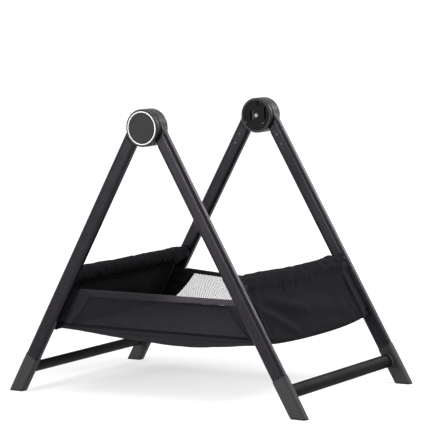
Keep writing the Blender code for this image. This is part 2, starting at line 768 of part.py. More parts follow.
def headed_pin(name, look, side, end, x, drop, seat, sizes, steps=SMALL_STEPS):
    """A pin set outward into a leg's inner face: sizes are its head radius and height, radius, length."""
    head_radius, head, radius, length = sizes
    crown = head * HEAD_CROWN_SHARE
    profile = [
        (0, -head), (head_radius * HEAD_FLAT_SHARE, -head), (head_radius, -head + crown), (head_radius, 0),
        (radius, 0), (radius, length), (0, length),
    ]
    bm = bmesh.new()
    verts = [bm.verts.new((r, 0, -depth)) for r, depth in profile]
    for pair in zip(verts, verts[1:]):
        bm.edges.new(pair)
    mesh = bpy.data.meshes.new(name)
    bm.to_mesh(mesh)
    bm.free()
    item = add_object(name, mesh, look, FRAMES[side], (x, seat, -drop), (end * math.pi / 2, 0, 0))
    screw = item.modifiers.new("turn", "SCREW")
    screw.steps = steps
    screw.render_steps = steps
    screw.use_merge_vertices = True
    screw.merge_threshold = 0.0001
    return item


def leg(side, end):
    """A hollow leg tube with the holes in its inner wall, and the rivets that hold the knuckle."""
    label = f"{SIDE_NAMES[side]}_{END_NAMES[end]}"
    bm = leg_prism(side, end, 0, NECK_ROOT_DROP, FOOT_TOP - FIT, -LEG_WALL)
    tube = add_object(f"{label}_leg", to_mesh(bm, label), "anodised_leg", FRAMES[side])
    middle = end * LEG_PLANE
    span = (middle - LEG_DEPTH, middle + LEG_DEPTH)
    cut(tube, round_tool(f"{label}_leg_end", side, LEG_END_RADIUS, *span, 0, 0, LEG_END_STEPS))
    face = leg_inner_face(end)
    span = (face - end * 2 * LEG_WALL, face + end * 2 * LEG_WALL)
    plug = round_tool(f"{label}_bracket_bore", side, BRACKET_PLUG_RADIUS + FIT, *span,
                      side * LEG_OFFSET, -UPPER_RAIL_DROP)
    stud = round_tool(f"{label}_stud_bore", side, STUD_RADIUS + FIT, *span,
                      side * (LEG_OFFSET + STUD_OFFSET), -TAB_DROP)
    cut(tube, plug, stud, *rivet_bores(label, side, end))
    sizes = (RIVET_HEAD_RADIUS, RIVET_HEAD, RIVET_RADIUS, RIVET_LENGTH)
    for index, drop in enumerate(RIVET_DROPS):
        headed_pin(f"{label}_rivet_{index + 1}", "bright_steel", side, end, side * LEG_OFFSET, drop,
                   face - end * FIT, sizes)


def rail_outline(side, radii, drop, grow, y):
    """The oval of a cross rail, or of a socket round it, in a leg frame's axes."""
    across, along = radii
    return ellipse(side * LEG_OFFSET, -drop, across + grow, along + grow, BRACKET_STEPS, y)


def foot(side, end):
    """The foot moulding: a spigot up into the leg, a boss for the lower rail, cut level above its pad."""
    label = f"{SIDE_NAMES[side]}_{END_NAMES[end]}"
    past_floor = LEG_DROP + LEG_WIDTH
    shape = {"flat_share": FOOT_FLAT_SHARE, "edge_grow": FOOT_EDGE_GROW}
    bm = leg_prism(side, end, FOOT_LIP, FOOT_TOP, past_floor, **shape)
    trim_level(bm, side, PAD_THICKNESS + FIT, True)
    body = add_object(f"{label}_foot", to_mesh(bm, label), "foot_plastic", FRAMES[side])
    spigot = leg_prism(side, end, -LEG_WALL - FIT, FOOT_TOP - FOOT_SPIGOT, FOOT_TOP + 2 * LEG_WALL)
    spigot = add_object(f"{label}_foot_spigot", to_mesh(spigot, "spigot"), None, FRAMES[side])
    face = end * (LEG_PLANE - LEG_DEPTH / 2 - FOOT_LIP)
    mouth = face - end * FOOT_BOSS
    boss = extruded(rail_outline(side, LOWER_RAIL_RADII, LOWER_RAIL_DROP, FIT + SOCKET_WALL, mouth),
                    (0, end * (FOOT_BOSS + LEG_WALL), 0))
    boss = add_object(f"{label}_rail_boss", to_mesh(boss, "boss"), None, FRAMES[side])
    pocket = extruded(rail_outline(side, LOWER_RAIL_RADII, LOWER_RAIL_DROP, FIT, mouth - end * LEG_WALL),
                      (0, end * (FOOT_POCKET + LEG_WALL), 0))
    pocket = add_object(f"{label}_rail_pocket", to_mesh(pocket, "pocket"), None, FRAMES[side])
    join(body, spigot, boss)
    cut(body, pocket)
    pad = leg_prism(side, end, FOOT_LIP - PAD_INSET, FOOT_TOP, past_floor, **shape)
    trim_level(pad, side, 0, True)
    trim_level(pad, side, PAD_THICKNESS, False)
    add_object(f"{label}_foot_pad", to_mesh(pad, label), "foot_rubber", FRAMES[side])


def rail(name, side, radii, drop, half_length):
    """A hollow cross rail."""
    outer = rail_outline(side, radii, drop, 0, -half_length)
    inner = rail_outline(side, radii, drop, -RAIL_WALL, -half_length)
    bm = extruded(outer, (0, 2 * half_length, 0), inner)
    add_object(name, to_mesh(bm, name), "anodised_leg", FRAMES[side])


def rails(side):
    """The lower rail between the feet and the upper rail that the basket hangs on."""
    foot_face = LEG_PLANE - LEG_DEPTH / 2 - FOOT_LIP
    reach = foot_face - FOOT_BOSS + FOOT_POCKET - FIT
    rail(f"{SIDE_NAMES[side]}_lower_rail", side, LOWER_RAIL_RADII, LOWER_RAIL_DROP, reach)
    reach = LEG_PLANE - LEG_DEPTH / 2 - FIT - BRACKET_FLOOR - FIT
    rail(f"{SIDE_NAMES[side]}_upper_rail", side, UPPER_RAIL_RADII, UPPER_RAIL_DROP, reach)


def rail_bracket(side, end):
    """The cup on a leg's inner face that takes the end of the upper rail, plugged into the leg's wall."""
    name = f"{SIDE_NAMES[side]}_{END_NAMES[end]}_rail_bracket"
    face = end * (LEG_PLANE - LEG_DEPTH / 2 - FIT)
    rim = FIT + SOCKET_WALL + BRACKET_FLANGE_RIM

    def oval(grow, y):
        return rail_outline(side, UPPER_RAIL_RADII, UPPER_RAIL_DROP, grow, y)

    flange = extruded(oval(rim, face), (0, -end * BRACKET_FLANGE, 0))
    item = add_object(name, to_mesh(flange, name), "hub_plastic", FRAMES[side])
    collar = extruded(oval(FIT + SOCKET_WALL, face - end * BRACKET_FLANGE / 2),
                      (0, -end * (BRACKET_COLLAR + BRACKET_FLANGE / 2), 0))
    collar = add_object(f"{name}_collar", to_mesh(collar, "collar"), None, FRAMES[side])
    plug = round_tool(f"{name}_plug", side, BRACKET_PLUG_RADIUS, face - end * BRACKET_FLANGE / 2,
                      face + end * (BRACKET_PLUG_LENGTH - FIT), side * LEG_OFFSET, -UPPER_RAIL_DROP)
    pocket = extruded(oval(FIT, face - end * BRACKET_FLOOR),
                      (0, -end * (BRACKET_FLANGE + BRACKET_COLLAR), 0))
    pocket = add_object(f"{name}_pocket", to_mesh(pocket, "pocket"), None, FRAMES[side])
    join(item, collar, plug)
    cut(item, pocket)


def cloth(name, rows, look, thickness, parent=None):
    """Skins a grid of points, given as rows, and thickens it evenly about its middle."""
    bm = bmesh.new()
    grid = [[bm.verts.new(point) for point in row] for row in rows]
    for above, below in zip(grid, grid[1:]):
        for a, b, c, d in zip(above, above[1:], below[1:], below):
            bm.faces.new((a, b, c, d))
    item = add_object(name, to_mesh(bm, name), look, parent)
    wall = item.modifiers.new("thickness", "SOLIDIFY")
    wall.thickness = thickness
    wall.offset = 0
    wall.use_even_offset = True
    return item


def sleeve_path(slack):
    """The end panel's path from its hem to its lower edge, as (outward, drop) from the leg line.

    The top of the sleeve drops by the slack, down towards the rail.
    """
    out, along = SLEEVE_RADII
    tail = UPPER_RAIL_DROP + SLEEVE_TAIL
    path = [(-SLEEVE_TAIL_GAP, tail)]
    for step in range(SLEEVE_STEPS + 1):
        turn = SLEEVE_START + SLEEVE_SWEEP * step / SLEEVE_STEPS
        rise = along * math.sin(turn)
        share = max(0.0, math.sin(turn))
        path.append((out * math.cos(turn), UPPER_RAIL_DROP - rise + slack * share))
    path.append((0.0, tail))
    for step in range(1, PANEL_STEPS + 1):
        path.append((0.0, tail + (END_PANEL_DROP - tail) * step / PANEL_STEPS))
    return path


def end_panel_fold(share, hang):
    """How far the hanging panel stands out at a share of its width and of its fall."""
    fade = (1 - share ** 4) * math.sin(math.pi * hang)
    waves, phase, billow_share = PANEL_BILLOW
    billow = billow_share * math.sin(waves * math.pi * share + phase)
    waves, phase, crease_share = PANEL_CREASE
    crease = crease_share * math.sin(waves * math.pi * (share + hang) + phase)
    return END_PANEL_FOLD * fade * (billow + crease)


def end_panel(side):
    """The basket's end: a sleeve round the upper rail and a panel hung from it, with corner tabs."""
    name = f"basket_{SIDE_NAMES[side]}_end"
    slackest = SLEEVE_SLACK[0 if side == LEFT else 1]
    tail = UPPER_RAIL_DROP + SLEEVE_TAIL
    shares = [2 * station / (PANEL_STATIONS - 1) - 1 for station in range(PANEL_STATIONS)]
    slacks = [slackest * min(1.0, SLEEVE_SLACK_RATE * (1 - abs(share))) for share in shares]
    paths = [sleeve_path(slack) for slack in slacks]
    rows = []
    for index in range(len(paths[0])):
        row = []
        for station, share in enumerate(shares):
            outward, drop = paths[station][index]
            hang = max(0.0, (drop - tail) / (END_PANEL_DROP - tail))
            gather = SLEEVE_GATHER * (1 - share ** 4) * (station % 2) * (1 if outward > 0 else -1)
            shift = end_panel_fold(share, hang) if hang > 0 else gather
            lift = END_PANEL_LIFT * share ** 4 * hang
            row.append((side * (LEG_OFFSET + outward + shift), BASKET_HALF_WIDTH * share, lift - drop))
        rows.append(row)
    item = cloth(name, rows, "basket_cloth", CLOTH, FRAMES[side])
    for end in (FRONT, BACK):
        join(item, *corner_tab(name, side, end))
        stud_hole = round_tool(f"{name}_{END_NAMES[end]}_stud_hole", side, STUD_RADIUS + FIT,
                               *sorted((end * BASKET_HALF_WIDTH, end * LEG_PLANE)),
                               side * (LEG_OFFSET + STUD_OFFSET), -TAB_DROP)
        cut(item, stud_hole)


def corner_tab(name, side, end):
    """The tab at a lower corner of an end panel, turned to lie flat on the leg's inner face."""
    face = leg_inner_face(end) - end * FIT
    half = CLOTH / 2
    top, bottom = -TAB_DROP + TAB_HALF_LENGTH, -TAB_DROP - TAB_HALF_LENGTH
    panel_edge = end * (BASKET_HALF_WIDTH - CLOTH)
    inside = half * TAB_BRIDGE_SHARE
    bridge_x = sorted((side * (LEG_OFFSET - inside), side * (LEG_OFFSET + inside)))
    bridge = block(*bridge_x, *sorted((panel_edge, face - end * half)), bottom, top)
    tab_x = sorted((side * (LEG_OFFSET - half), side * (LEG_OFFSET + TAB_WIDTH)))
    tab = block(*tab_x, *sorted((face, face - end * CLOTH)), bottom, top)
    tools = []
    for label, bm in (("bridge", bridge), ("tab", tab)):
        tool = f"{name}_{END_NAMES[end]}_{label}"
        tools.append(add_object(tool, to_mesh(bm, tool), None, FRAMES[side]))
    return tools


def basket_stud(side, end):
    """The press stud that holds a basket corner to the leg."""
    seat = leg_inner_face(end) - end * (CLOTH + 2 * FIT)
    sizes = (STUD_HEAD_RADIUS, STUD_HEAD, STUD_RADIUS, STUD_LENGTH)
    headed_pin(f"{SIDE_NAMES[side]}_{END_NAMES[end]}_basket_stud", "hub_plastic", side, end,
               side * (LEG_OFFSET + STUD_OFFSET), TAB_DROP, seat, sizes)


def leg_line(drop, outward=0.0):
    """The (x, z) of a point of the right frame, given down the leg and outward from its line."""
    place = frame_matrix(RIGHT) @ Vector((LEG_OFFSET + outward, 0, -drop))
    return place.x, place.z


def drop_at(height, outward=0.0):
    """How far down the leg a height above the floor lies, on a line set outward from the leg's."""
    above = HUB_HEIGHT + (LEG_OFFSET + outward) * math.sin(LEG_LEAN) - height
    return above / math.cos(LEG_LEAN)


def basket_edge():
    """The half length and height of the basket floor's rim, just under the end panels."""
    x, z = leg_line(END_PANEL_DROP, -CLOTH / 2)
    return x + CLOTH, z - FIT - CLOTH / 2


def basket_floor():
    """The sagging floor of the basket, level along its rim."""
    half_length, rim = basket_edge()
    length_power, width_power = FLOOR_BOWL_POWERS
    length_waves, width_waves = FLOOR_CREASE_WAVES
    rows = []
    for row_index in range(FLOOR_ROWS + 1):
        across = 2 * row_index / FLOOR_ROWS - 1
        row = []
        for column in range(FLOOR_COLUMNS + 1):
            along = 2 * column / FLOOR_COLUMNS - 1
            bowl = (1 - abs(along) ** length_power) * (1 - abs(across) ** width_power)
            fade = (1 - along ** 2) * (1 - across ** 2)
            crease = FLOOR_FOLD * math.sin(length_waves * along + width_waves * across) * fade
            height = rim - FLOOR_SAG * bowl + crease
            row.append((half_length * along, BASKET_HALF_WIDTH * across, height))
        rows.append(row)
    cloth("basket_floor", rows, "basket_cloth", CLOTH)


def side_reach(height):
    """Half the length of a basket side at a height, up to the end panels."""
    reach = -(CLOTH / 2 + FIT)
    return leg_line(drop_at(height, reach), reach)[0]


def side_drop(end, x, height, bottom):
    """How far a point of a basket side hangs below its place in a taut one."""
    half = side_reach(SIDE_TOP)
    if abs(x) >= half:
        return 0.0
    sag = SIDE_SAG[0 if end == FRONT else 1] * math.cos(math.pi * x / (2 * half)) ** SIDE_SAG_POWER
    return sag * (height - bottom) / (SIDE_TOP - bottom)


def side_band(end, low, high, bottom, thickness, inset=0.0):
    """A band of a basket side between two heights, its ends set in from the end panels."""
    y = end * (BASKET_HALF_WIDTH - HEM_THICKNESS / 2) - thickness / 2
    points = []
    for height, direction in ((low, 1), (high, -1)):
        half = side_reach(height) - inset
        for step in range(SIDE_SPANS + 1):
            x = direction * half * (2 * step / SIDE_SPANS - 1)
            points.append((x, y, height - side_drop(end, x, height, bottom)))
    return extruded(points, (0, thickness, 0))


def basket_side(end):
    """A side of the basket: an open net between a doubled hem and the floor's rim."""
    name = f"basket_{END_NAMES[end]}_side"
    _, rim = basket_edge()
    bottom = rim + CLOTH / 2 + FIT
    hem_height = HEM_HEIGHTS[0 if end == FRONT else 1]
    panel = side_band(end, bottom, SIDE_TOP - FIT, bottom, SIDE_PANEL_CLOTH, FIT)
    panel = add_object(name, to_mesh(panel, name), "basket_mesh")
    hem = side_band(end, SIDE_TOP - hem_height, SIDE_TOP, bottom, HEM_THICKNESS)
    join(panel, add_object(f"{name}_hem", to_mesh(hem, "hem"), None))
    cut(panel, net_gaps(f"{name}_gaps", end, bottom, hem_height))


def net_gaps(name, end, bottom, hem_height):
    """The gaps of a side's net as one cutter, in rows that end at the side's cloth gussets."""
    low = bottom + 2 * NET_STRAND
    high = SIDE_TOP - hem_height - NET_STRAND / 2
    pitch = (high - low) / NET_ROWS
    middle = end * (BASKET_HALF_WIDTH - HEM_THICKNESS / 2)
    bm = bmesh.new()
    for row in range(NET_ROWS):
        z0 = low + pitch * row + NET_STRAND / 2
        z1 = low + pitch * (row + 1) - NET_STRAND / 2
        share = (row + 0.5) / NET_ROWS
        margin = NET_BOTTOM_MARGIN + (NET_TOP_MARGIN - NET_BOTTOM_MARGIN) * share
        half_row = side_reach(z1) - margin
        step = 2 * half_row / NET_COLUMNS
        for column in range(NET_COLUMNS):
            x = -half_row + step * (column + 0.5)
            centre = Matrix.Translation((x, middle, (z0 + z1) / 2))
            size = Matrix.Diagonal((step - NET_STRAND, 2 * HEM_THICKNESS, z1 - z0, 1))
            bmesh.ops.create_cube(bm, size=1, matrix=centre @ size)
    for vert in bm.verts:
        vert.co.z -= side_drop(end, vert.co.x, vert.co.z, bottom)
    return add_object(name, to_mesh(bm, name), None)


def build():
    """Builds the whole stand."""
    for side in (LEFT, RIGHT):
        for end in (FRONT, BACK):
            knuckle(side, end)
            leg(side, end)
            foot(side, end)
            rail_bracket(side, end)
            basket_stud(side, end)
        rails(side)
        end_panel(side)
    for end in (FRONT, BACK):
        button(end)
        trim_ring(end)
        button_spring(end)
        pivot_pin(end)
        hub_washer(end)
        stop_pin(end)
        socket_plate(end)
        basket_side(end)
    basket_floor()


build()
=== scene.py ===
"""Looks of the folding carrycot stand: finishes for its solid parts, and its basket made as sewn cloth.

Sizes are in metres, in the stand's own axes: X along the open stand, Y from the front hub to the back
one, and Z up from the floor. Points on a leg frame are given outward from the leg's line and down it.
"""
import logging
import math
from dataclasses import dataclass, field
from enum import Enum
from functools import cached_property
from typing import Sequence

import bmesh
import bpy
from mathutils import Matrix, Vector, noise


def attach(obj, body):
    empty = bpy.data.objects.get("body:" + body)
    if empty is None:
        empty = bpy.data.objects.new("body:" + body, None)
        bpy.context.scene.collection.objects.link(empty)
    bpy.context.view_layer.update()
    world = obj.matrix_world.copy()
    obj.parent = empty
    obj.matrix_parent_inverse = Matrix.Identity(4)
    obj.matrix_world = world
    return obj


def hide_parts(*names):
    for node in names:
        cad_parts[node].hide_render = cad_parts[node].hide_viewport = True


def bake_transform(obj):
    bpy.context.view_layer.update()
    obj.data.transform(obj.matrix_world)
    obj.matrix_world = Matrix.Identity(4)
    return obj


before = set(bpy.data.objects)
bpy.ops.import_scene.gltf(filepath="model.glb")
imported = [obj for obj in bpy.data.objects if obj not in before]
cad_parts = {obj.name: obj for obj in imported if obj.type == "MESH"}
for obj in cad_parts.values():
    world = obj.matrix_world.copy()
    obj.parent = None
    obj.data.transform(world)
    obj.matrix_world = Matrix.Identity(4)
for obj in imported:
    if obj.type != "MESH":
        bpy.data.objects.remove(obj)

LOG = logging.getLogger("carrycot_stand")


class Side(Enum):
    """The two leg frames."""

    LEFT = -1
    RIGHT = 1


class End(Enum):
    """The two ends of the stand's width, each with its hub."""

    FRONT = -1
    BACK = 1


class Coordinates(Enum):
    """What a finish's pattern follows."""

    OBJECT = "Object"
    CLOTH = "weave"


@dataclass(frozen=True)
class Stand:
    """The stand's driving sizes, as its solids have them. A drop is a distance down a leg from the fold axis."""

    hub_height: float = 0.580
    lean: float = math.radians(29.7)
    leg_offset: float = 0.0213
    upper_rail_drop: float = 0.3776
    sleeve_out: float = 0.0105
    sleeve_along: float = 0.0167
    sleeve_tail: float = 0.026
    end_panel_drop: float = 0.5175
    end_panel_lift: float = 0.003
    half_width: float = 0.2045
    side_top: float = 0.2288

    def leg_point(self, side: Side, outward: float, across: float, drop: float) -> Vector:
        """Places a point given on a leg frame.

        Args:
            side: The leg frame.
            outward: Distance outward from the leg's line.
            across: The point's Y.
            drop: Distance down the leg from the fold axis.

        Returns:
            The point in the stand's axes.
        """
        turn = Matrix.Rotation(-side.value * self.lean, 3, "Y")
        local = Vector((side.value * (self.leg_offset + outward), across, -drop))
        return Vector((0.0, 0.0, self.hub_height)) + turn @ local

    def reach(self, height: float, outward: float = 0.0) -> float:
        """Half the stand's length at a height, measured on a line set outward from the leg's.

        Args:
            height: Height above the floor.
            outward: Distance outward from the leg's line.

        Returns:
            The distance in X from the middle.
        """
        offset = self.leg_offset + outward
        drop = (self.hub_height + offset * math.sin(self.lean) - height) / math.cos(self.lean)
        return self.leg_point(Side.RIGHT, outward, 0.0, drop).x


STAND = Stand()
Colour = Sequence[float]
Socket = bpy.types.NodeSocket
Material = bpy.types.Material
Item = bpy.types.Object
MIDDLE_NOISE = (0.3, 0.7)
"""The range that most of a noise texture's values lie in."""


def linear(code: str) -> Colour:
    """Turns a hex colour into the linear one that a shader takes.

    Args:
        code: Six hex digits.

    Returns:
        Red, green, blue and alpha.
    """
    def channel(text: str) -> float:
        """One channel's linear value."""
        value = int(text, 16) / 255
        return value / 12.92 if value <= 0.04045 else ((value + 0.055) / 1.055) ** 2.4

    return channel(code[0:2]), channel(code[2:4]), channel(code[4:6]), 1.0


def shaded(colour: Sequence[float], share: float) -> Colour:
    """A colour made lighter or darker by a factor."""
    return colour[0] * share, colour[1] * share, colour[2] * share, 1.0


class Tree:
    """A node tree, with short ways to add what the finishes and the studio need."""

    def __init__(self, tree: bpy.types.NodeTree) -> None:
        """Keeps the tree."""
        self.tree = tree

    def link(self, source: Socket, target: Socket) -> None:
        """Joins two sockets."""
        self.tree.links.new(source, target)

    def feed(self, node: bpy.types.Node, inputs: dict[str | int, object]) -> None:
        """Links a node's inputs to sockets, or sets them to constants.

        Args:
            node: The node.
            inputs: A socket or a constant for each input, by name or number.
        """
        for key, value in inputs.items():
            if isinstance(value, Socket):
                self.link(value, node.inputs[key])
            else:
                node.inputs[key].default_value = value

    def add(self, kind: str, inputs: dict[str | int, object] | None = None, **settings: object) -> bpy.types.Node:
        """Adds a node.

        Args:
            kind: The node's type, without the ShaderNode before it.
            inputs: Sockets or constants for its inputs.
            settings: Its properties.

        Returns:
            The node.
        """
        node = self.tree.nodes.new(f"ShaderNode{kind}")
        for key, value in settings.items():
            setattr(node, key, value)
        self.feed(node, inputs or {})
        return node

    def place(self, coordinates: Coordinates = Coordinates.OBJECT, scale: Sequence[float] = (1.0, 1.0, 1.0),
              turn: float = 0.0) -> Socket:
        """Gives scaled and turned coordinates for a pattern.

        Args:
            coordinates: What the pattern follows.
            scale: The three scales.
            turn: Rotation about Y, for a pattern that runs along a leaning part.

        Returns:
            The vector.
        """
        if coordinates is Coordinates.OBJECT:
            source = self.add("TexCoord").outputs["Object"]
        else:
            source = self.add("UVMap", uv_map=coordinates.value).outputs["UV"]
        turned = self.add("Mapping", {"Vector": source, "Rotation": (0.0, turn, 0.0)})
        return self.add("Mapping", {"Vector": turned.outputs["Vector"], "Scale": scale}).outputs["Vector"]

    def noise(self, vector: Socket, scale: float, detail: float = 3.0, roughness: float = 0.5) -> Socket:
        """A noise texture's grey value."""
        return self.add("TexNoise", {"Vector": vector, "Scale": scale, "Detail": detail,
                                     "Roughness": roughness}).outputs["Fac"]

    def ranged(self, value: Socket, low: float, high: float, to_low: float = 0.0, to_high: float = 1.0) -> Socket:
        """Maps a value from one range to another, held at its ends."""
        return self.add("MapRange", {"Value": value, "From Min": low, "From Max": high, "To Min": to_low,
                                     "To Max": to_high}).outputs["Result"]

    def maths(self, operation: str, first: Socket, second: Socket | float) -> Socket:
        """Combines two values by a named operation."""
        return self.add("Math", {0: first, 1: second}, operation=operation).outputs[0]

    def weighted(self, first: Socket, share: float, second: Socket, other_share: float) -> Socket:
        """Adds a share of one value to a share of another."""
        return self.maths("ADD", self.maths("MULTIPLY", first, share), self.maths("MULTIPLY", second, other_share))

    def blend(self, share: Socket, first: Colour | Socket, second: Colour | Socket) -> Socket:
        """Mixes two colours by how much of the second there is."""
        return self.add("Mix", {"Factor": share, "A": first, "B": second}, data_type="RGBA").outputs["Result"]

    def seen(self) -> Socket:
        """Tells the camera's own rays, also by way of gloss or glass, from the others.

        Returns:
            1 for such a ray, and 0 for one that lights the stand.
        """
        path = self.add("LightPath").outputs
        plain = self.maths("MAXIMUM", path["Is Camera Ray"], path["Is Glossy Ray"])
        return self.maths("MAXIMUM", plain, path["Is Transmission Ray"])


class Nodes(Tree):
    """The node tree of one material, with its shader."""

    def __init__(self, name: str) -> None:
        """Makes the material.

        Args:
            name: The material's name.
        """
        self.material = bpy.data.materials.new(name)
        self.material.use_nodes = True
        super().__init__(self.material.node_tree)
        self.shader = self.tree.nodes["Principled BSDF"]

    def tinted(self, share: Socket, colour: Colour, dark: float, light: float) -> Socket:
        """A colour that goes from one multiple of itself to another, by a share."""
        return self.blend(share, shaded(colour, dark), shaded(colour, light))

    def worn(self, wear: Socket, middle: float, below: float, above: float) -> Socket:
        """A roughness that noise takes below and above its middle."""
        return self.ranged(wear, *MIDDLE_NOISE, middle - below, middle + above)

    def bump(self, height: Socket, strength: float, distance: float) -> None:
        """Raises the surface by a height, whose value of 1 stands for a distance in metres."""
        node = self.add("Bump", {"Strength": strength, "Distance": distance, "Height": height})
        self.link(node.outputs["Normal"], self.shader.inputs["Normal"])


@dataclass(frozen=True)
class Finish:
    """A finish: its name, its colour, and the pattern that its kind adds."""

    name: str
    colour: str

    def pattern(self, nodes: Nodes, base: Colour) -> None:
        """Adds the finish's pattern to a new material.

        Args:
            nodes: The material's nodes.
            base: Its linear colour.
        """
        raise NotImplementedError

    def material(self) -> Material:
        """Makes the material."""
        nodes = Nodes(self.name)
        self.pattern(nodes, linear(self.colour))
        return nodes.material


@dataclass(frozen=True)
class CoatedTube(Finish):
    """Satin coated aluminium tube: fine draw lines along it, and slight handling marks."""

    turn: float
    roughness: float = 0.32
    metallic: float = 0.5
    level: float = 0.2
    stretch: tuple[float, float, float] = (1.0, 1.0, 0.02)

    def pattern(self, nodes: Nodes, base: Colour) -> None:
        """Adds draw lines, an even peel, clouds and marks."""
        lengthwise = nodes.place(scale=self.stretch, turn=self.turn)
        lines = nodes.noise(lengthwise, 2600.0, 2.0)
        even = nodes.place()
        peel = nodes.noise(even, 1500.0, 2.0)
        clouds = nodes.noise(even, 26.0, 4.0, 0.6)
        marks = nodes.ranged(nodes.noise(lengthwise, 420.0, 4.0, 0.7), 0.62, 0.78)
        cloudy = nodes.worn(clouds, self.roughness, 0.05, 0.06)
        nodes.feed(nodes.shader, {
            "Base Color": nodes.tinted(nodes.ranged(clouds, *MIDDLE_NOISE), base, 0.88, 1.14),
            "Roughness": nodes.maths("SUBTRACT", cloudy, nodes.maths("MULTIPLY", marks, 0.08)),
            "Metallic": self.metallic, "Specular IOR Level": self.level})
        nodes.bump(nodes.weighted(lines, 0.6, peel, 0.4), 0.16, 0.00012)


@dataclass(frozen=True)
class MouldedPlastic(Finish):
    """Moulded plastic with a fine spark-eroded grain."""

    roughness: float = 0.5
    grain: float = 1300.0
    depth: float = 0.00012
    level: float = 0.45

    def pattern(self, nodes: Nodes, base: Colour) -> None:
        """Adds the grain and slight flow clouds."""
        even = nodes.place()
        grain = nodes.noise(even, self.grain, 2.0)
        flow = nodes.noise(even, 34.0, 4.0, 0.55)
        nodes.feed(nodes.shader, {
            "Base Color": nodes.tinted(nodes.ranged(flow, *MIDDLE_NOISE), base, 0.9, 1.12),
            "Roughness": nodes.worn(flow, self.roughness, 0.05, 0.07), "Specular IOR Level": self.level})
        nodes.bump(grain, 0.25, self.depth)


@dataclass(frozen=True)
class Rubber(Finish):
    """Matt rubber, a little dusty."""

    def pattern(self, nodes: Nodes, base: Colour) -> None:
        """Adds dust and a fine roughness."""
        even = nodes.place()
        dust = nodes.ranged(nodes.noise(even, 70.0, 5.0, 0.65), 0.45, 0.75)
        nodes.feed(nodes.shader, {"Base Color": nodes.tinted(dust, base, 1.0, 1.9),
                                  "Roughness": nodes.ranged(dust, 0.0, 1.0, 0.78, 0.92)})
        nodes.bump(nodes.noise(even, 900.0, 3.0), 0.3, 0.0002)


@dataclass(frozen=True)
class BareMetal(Finish):
    """Machined steel or a plated trim: bright, with fine marks."""

    roughness: float = 0.28
    metallic: float = 1.0

    def pattern(self, nodes: Nodes, base: Colour) -> None:
        """Adds fine marks and faint stains."""
        even = nodes.place()
        marks = nodes.noise(even, 800.0, 4.0, 0.7)
        stain = nodes.ranged(nodes.noise(even, 120.0, 3.0), 0.35, 0.75)
        nodes.feed(nodes.shader, {"Base Color": nodes.tinted(stain, base, 1.0, 0.86), "Metallic": self.metallic,
                                  "Roughness": nodes.worn(marks, self.roughness, 0.06, 0.1)})
        nodes.bump(marks, 0.12, 0.0001)


@dataclass(frozen=True)
class WovenCloth(Finish):
    """Plain woven cloth: crossing threads, slubs and a soft sheen."""

    pitch: float = 0.0009
    depth: float = 0.00022
    sheen: float = 0.02
    roughness: float = 0.85
    level: float = 0.05
    # How much lighter the painted light towards the stand's right makes the cloth; 1 paints none.
    lighter: float = 1.0

    def weave(self, nodes: Nodes) -> Socket:
        """Crosses threads, each over and under the next.

        Args:
            nodes: The material's nodes.

        Returns:
            The height.
        """
        threads = nodes.place(Coordinates.CLOTH)
        heights = [nodes.add("TexWave", {"Vector": threads, "Scale": math.pi / (10.0 * self.pitch),
                                         "Distortion": 0.6, "Detail": 1.0},
                             wave_type="BANDS", bands_direction=direction).outputs["Fac"] for direction in "XY"]
        checker = nodes.add("TexChecker", {"Vector": threads, "Scale": 1.0 / self.pitch})
        over = {"Factor": checker.outputs["Fac"], "A": heights[0], "B": heights[1]}
        return nodes.add("Mix", over, data_type="FLOAT").outputs["Result"]

    def painted_light_to_right(self, nodes: Nodes, tone: Socket, base: Colour, colour: Socket) -> Socket:
        """Paints the cloth a lighter, browner tone from the stand's middle to its right: painted light, standing in
        for the brighter light on that end.

        Args:
            nodes: The material's nodes.
            tone: The weave's pattern.
            base: The cloth's colour.
            colour: The patterned colour that is faded.

        Returns:
            The colour.
        """
        brown = (base[0] * self.lighter, base[1] * self.lighter * 0.94, base[2] * self.lighter * 0.93)
        bright = nodes.tinted(tone, brown, 0.8, 1.3)
        across = nodes.add("SeparateXYZ", {"Vector": nodes.place()}).outputs["X"]
        return nodes.blend(nodes.ranged(across, -0.01, 0.07), colour, bright)

    def pattern(self, nodes: Nodes, base: Colour) -> None:
        """Adds the weave, its slubs, random fading and, where the cloth is set lighter, painted light towards the
        stand's right.
        """
        weave = self.weave(nodes)
        slubs = nodes.noise(nodes.place(Coordinates.CLOTH, (1.0, 6.0, 1.0)), 240.0, 4.0, 0.6)
        fading = nodes.noise(nodes.place(), 18.0, 4.0, 0.6)
        tone = nodes.weighted(nodes.weighted(weave, 0.35, slubs, 0.65), 0.6, fading, 0.4)
        tone = nodes.ranged(tone, *MIDDLE_NOISE)
        colour = nodes.tinted(tone, base, 0.78, 1.25)
        # Painted light: lighter and browner towards the stand's right.
        if self.lighter != 1.0:
            colour = self.painted_light_to_right(nodes, tone, base, colour)
        nodes.feed(nodes.shader, {
            "Base Color": colour, "Roughness": nodes.worn(slubs, self.roughness, 0.06, 0.06),
            "Sheen Weight": self.sheen, "Sheen Roughness": 0.45, "Specular IOR Level": self.level})
        nodes.bump(nodes.maths("ADD", weave, nodes.maths("MULTIPLY", slubs, 0.5)), 0.5, self.depth)


@dataclass(frozen=True)
class Thread(Finish):
    """Twisted sewing thread or a net's knitted strand."""

    def pattern(self, nodes: Nodes, base: Colour) -> None:
        """Adds the twist."""
        twist = nodes.noise(nodes.place(), 2400.0, 2.0)
        nodes.feed(nodes.shader, {"Base Color": nodes.tinted(twist, base, 0.8, 1.25),
                                  "Roughness": nodes.worn(twist, 0.79, 0.09, 0.09), "Specular IOR Level": 0.1})
        nodes.bump(twist, 0.3, 0.0001)


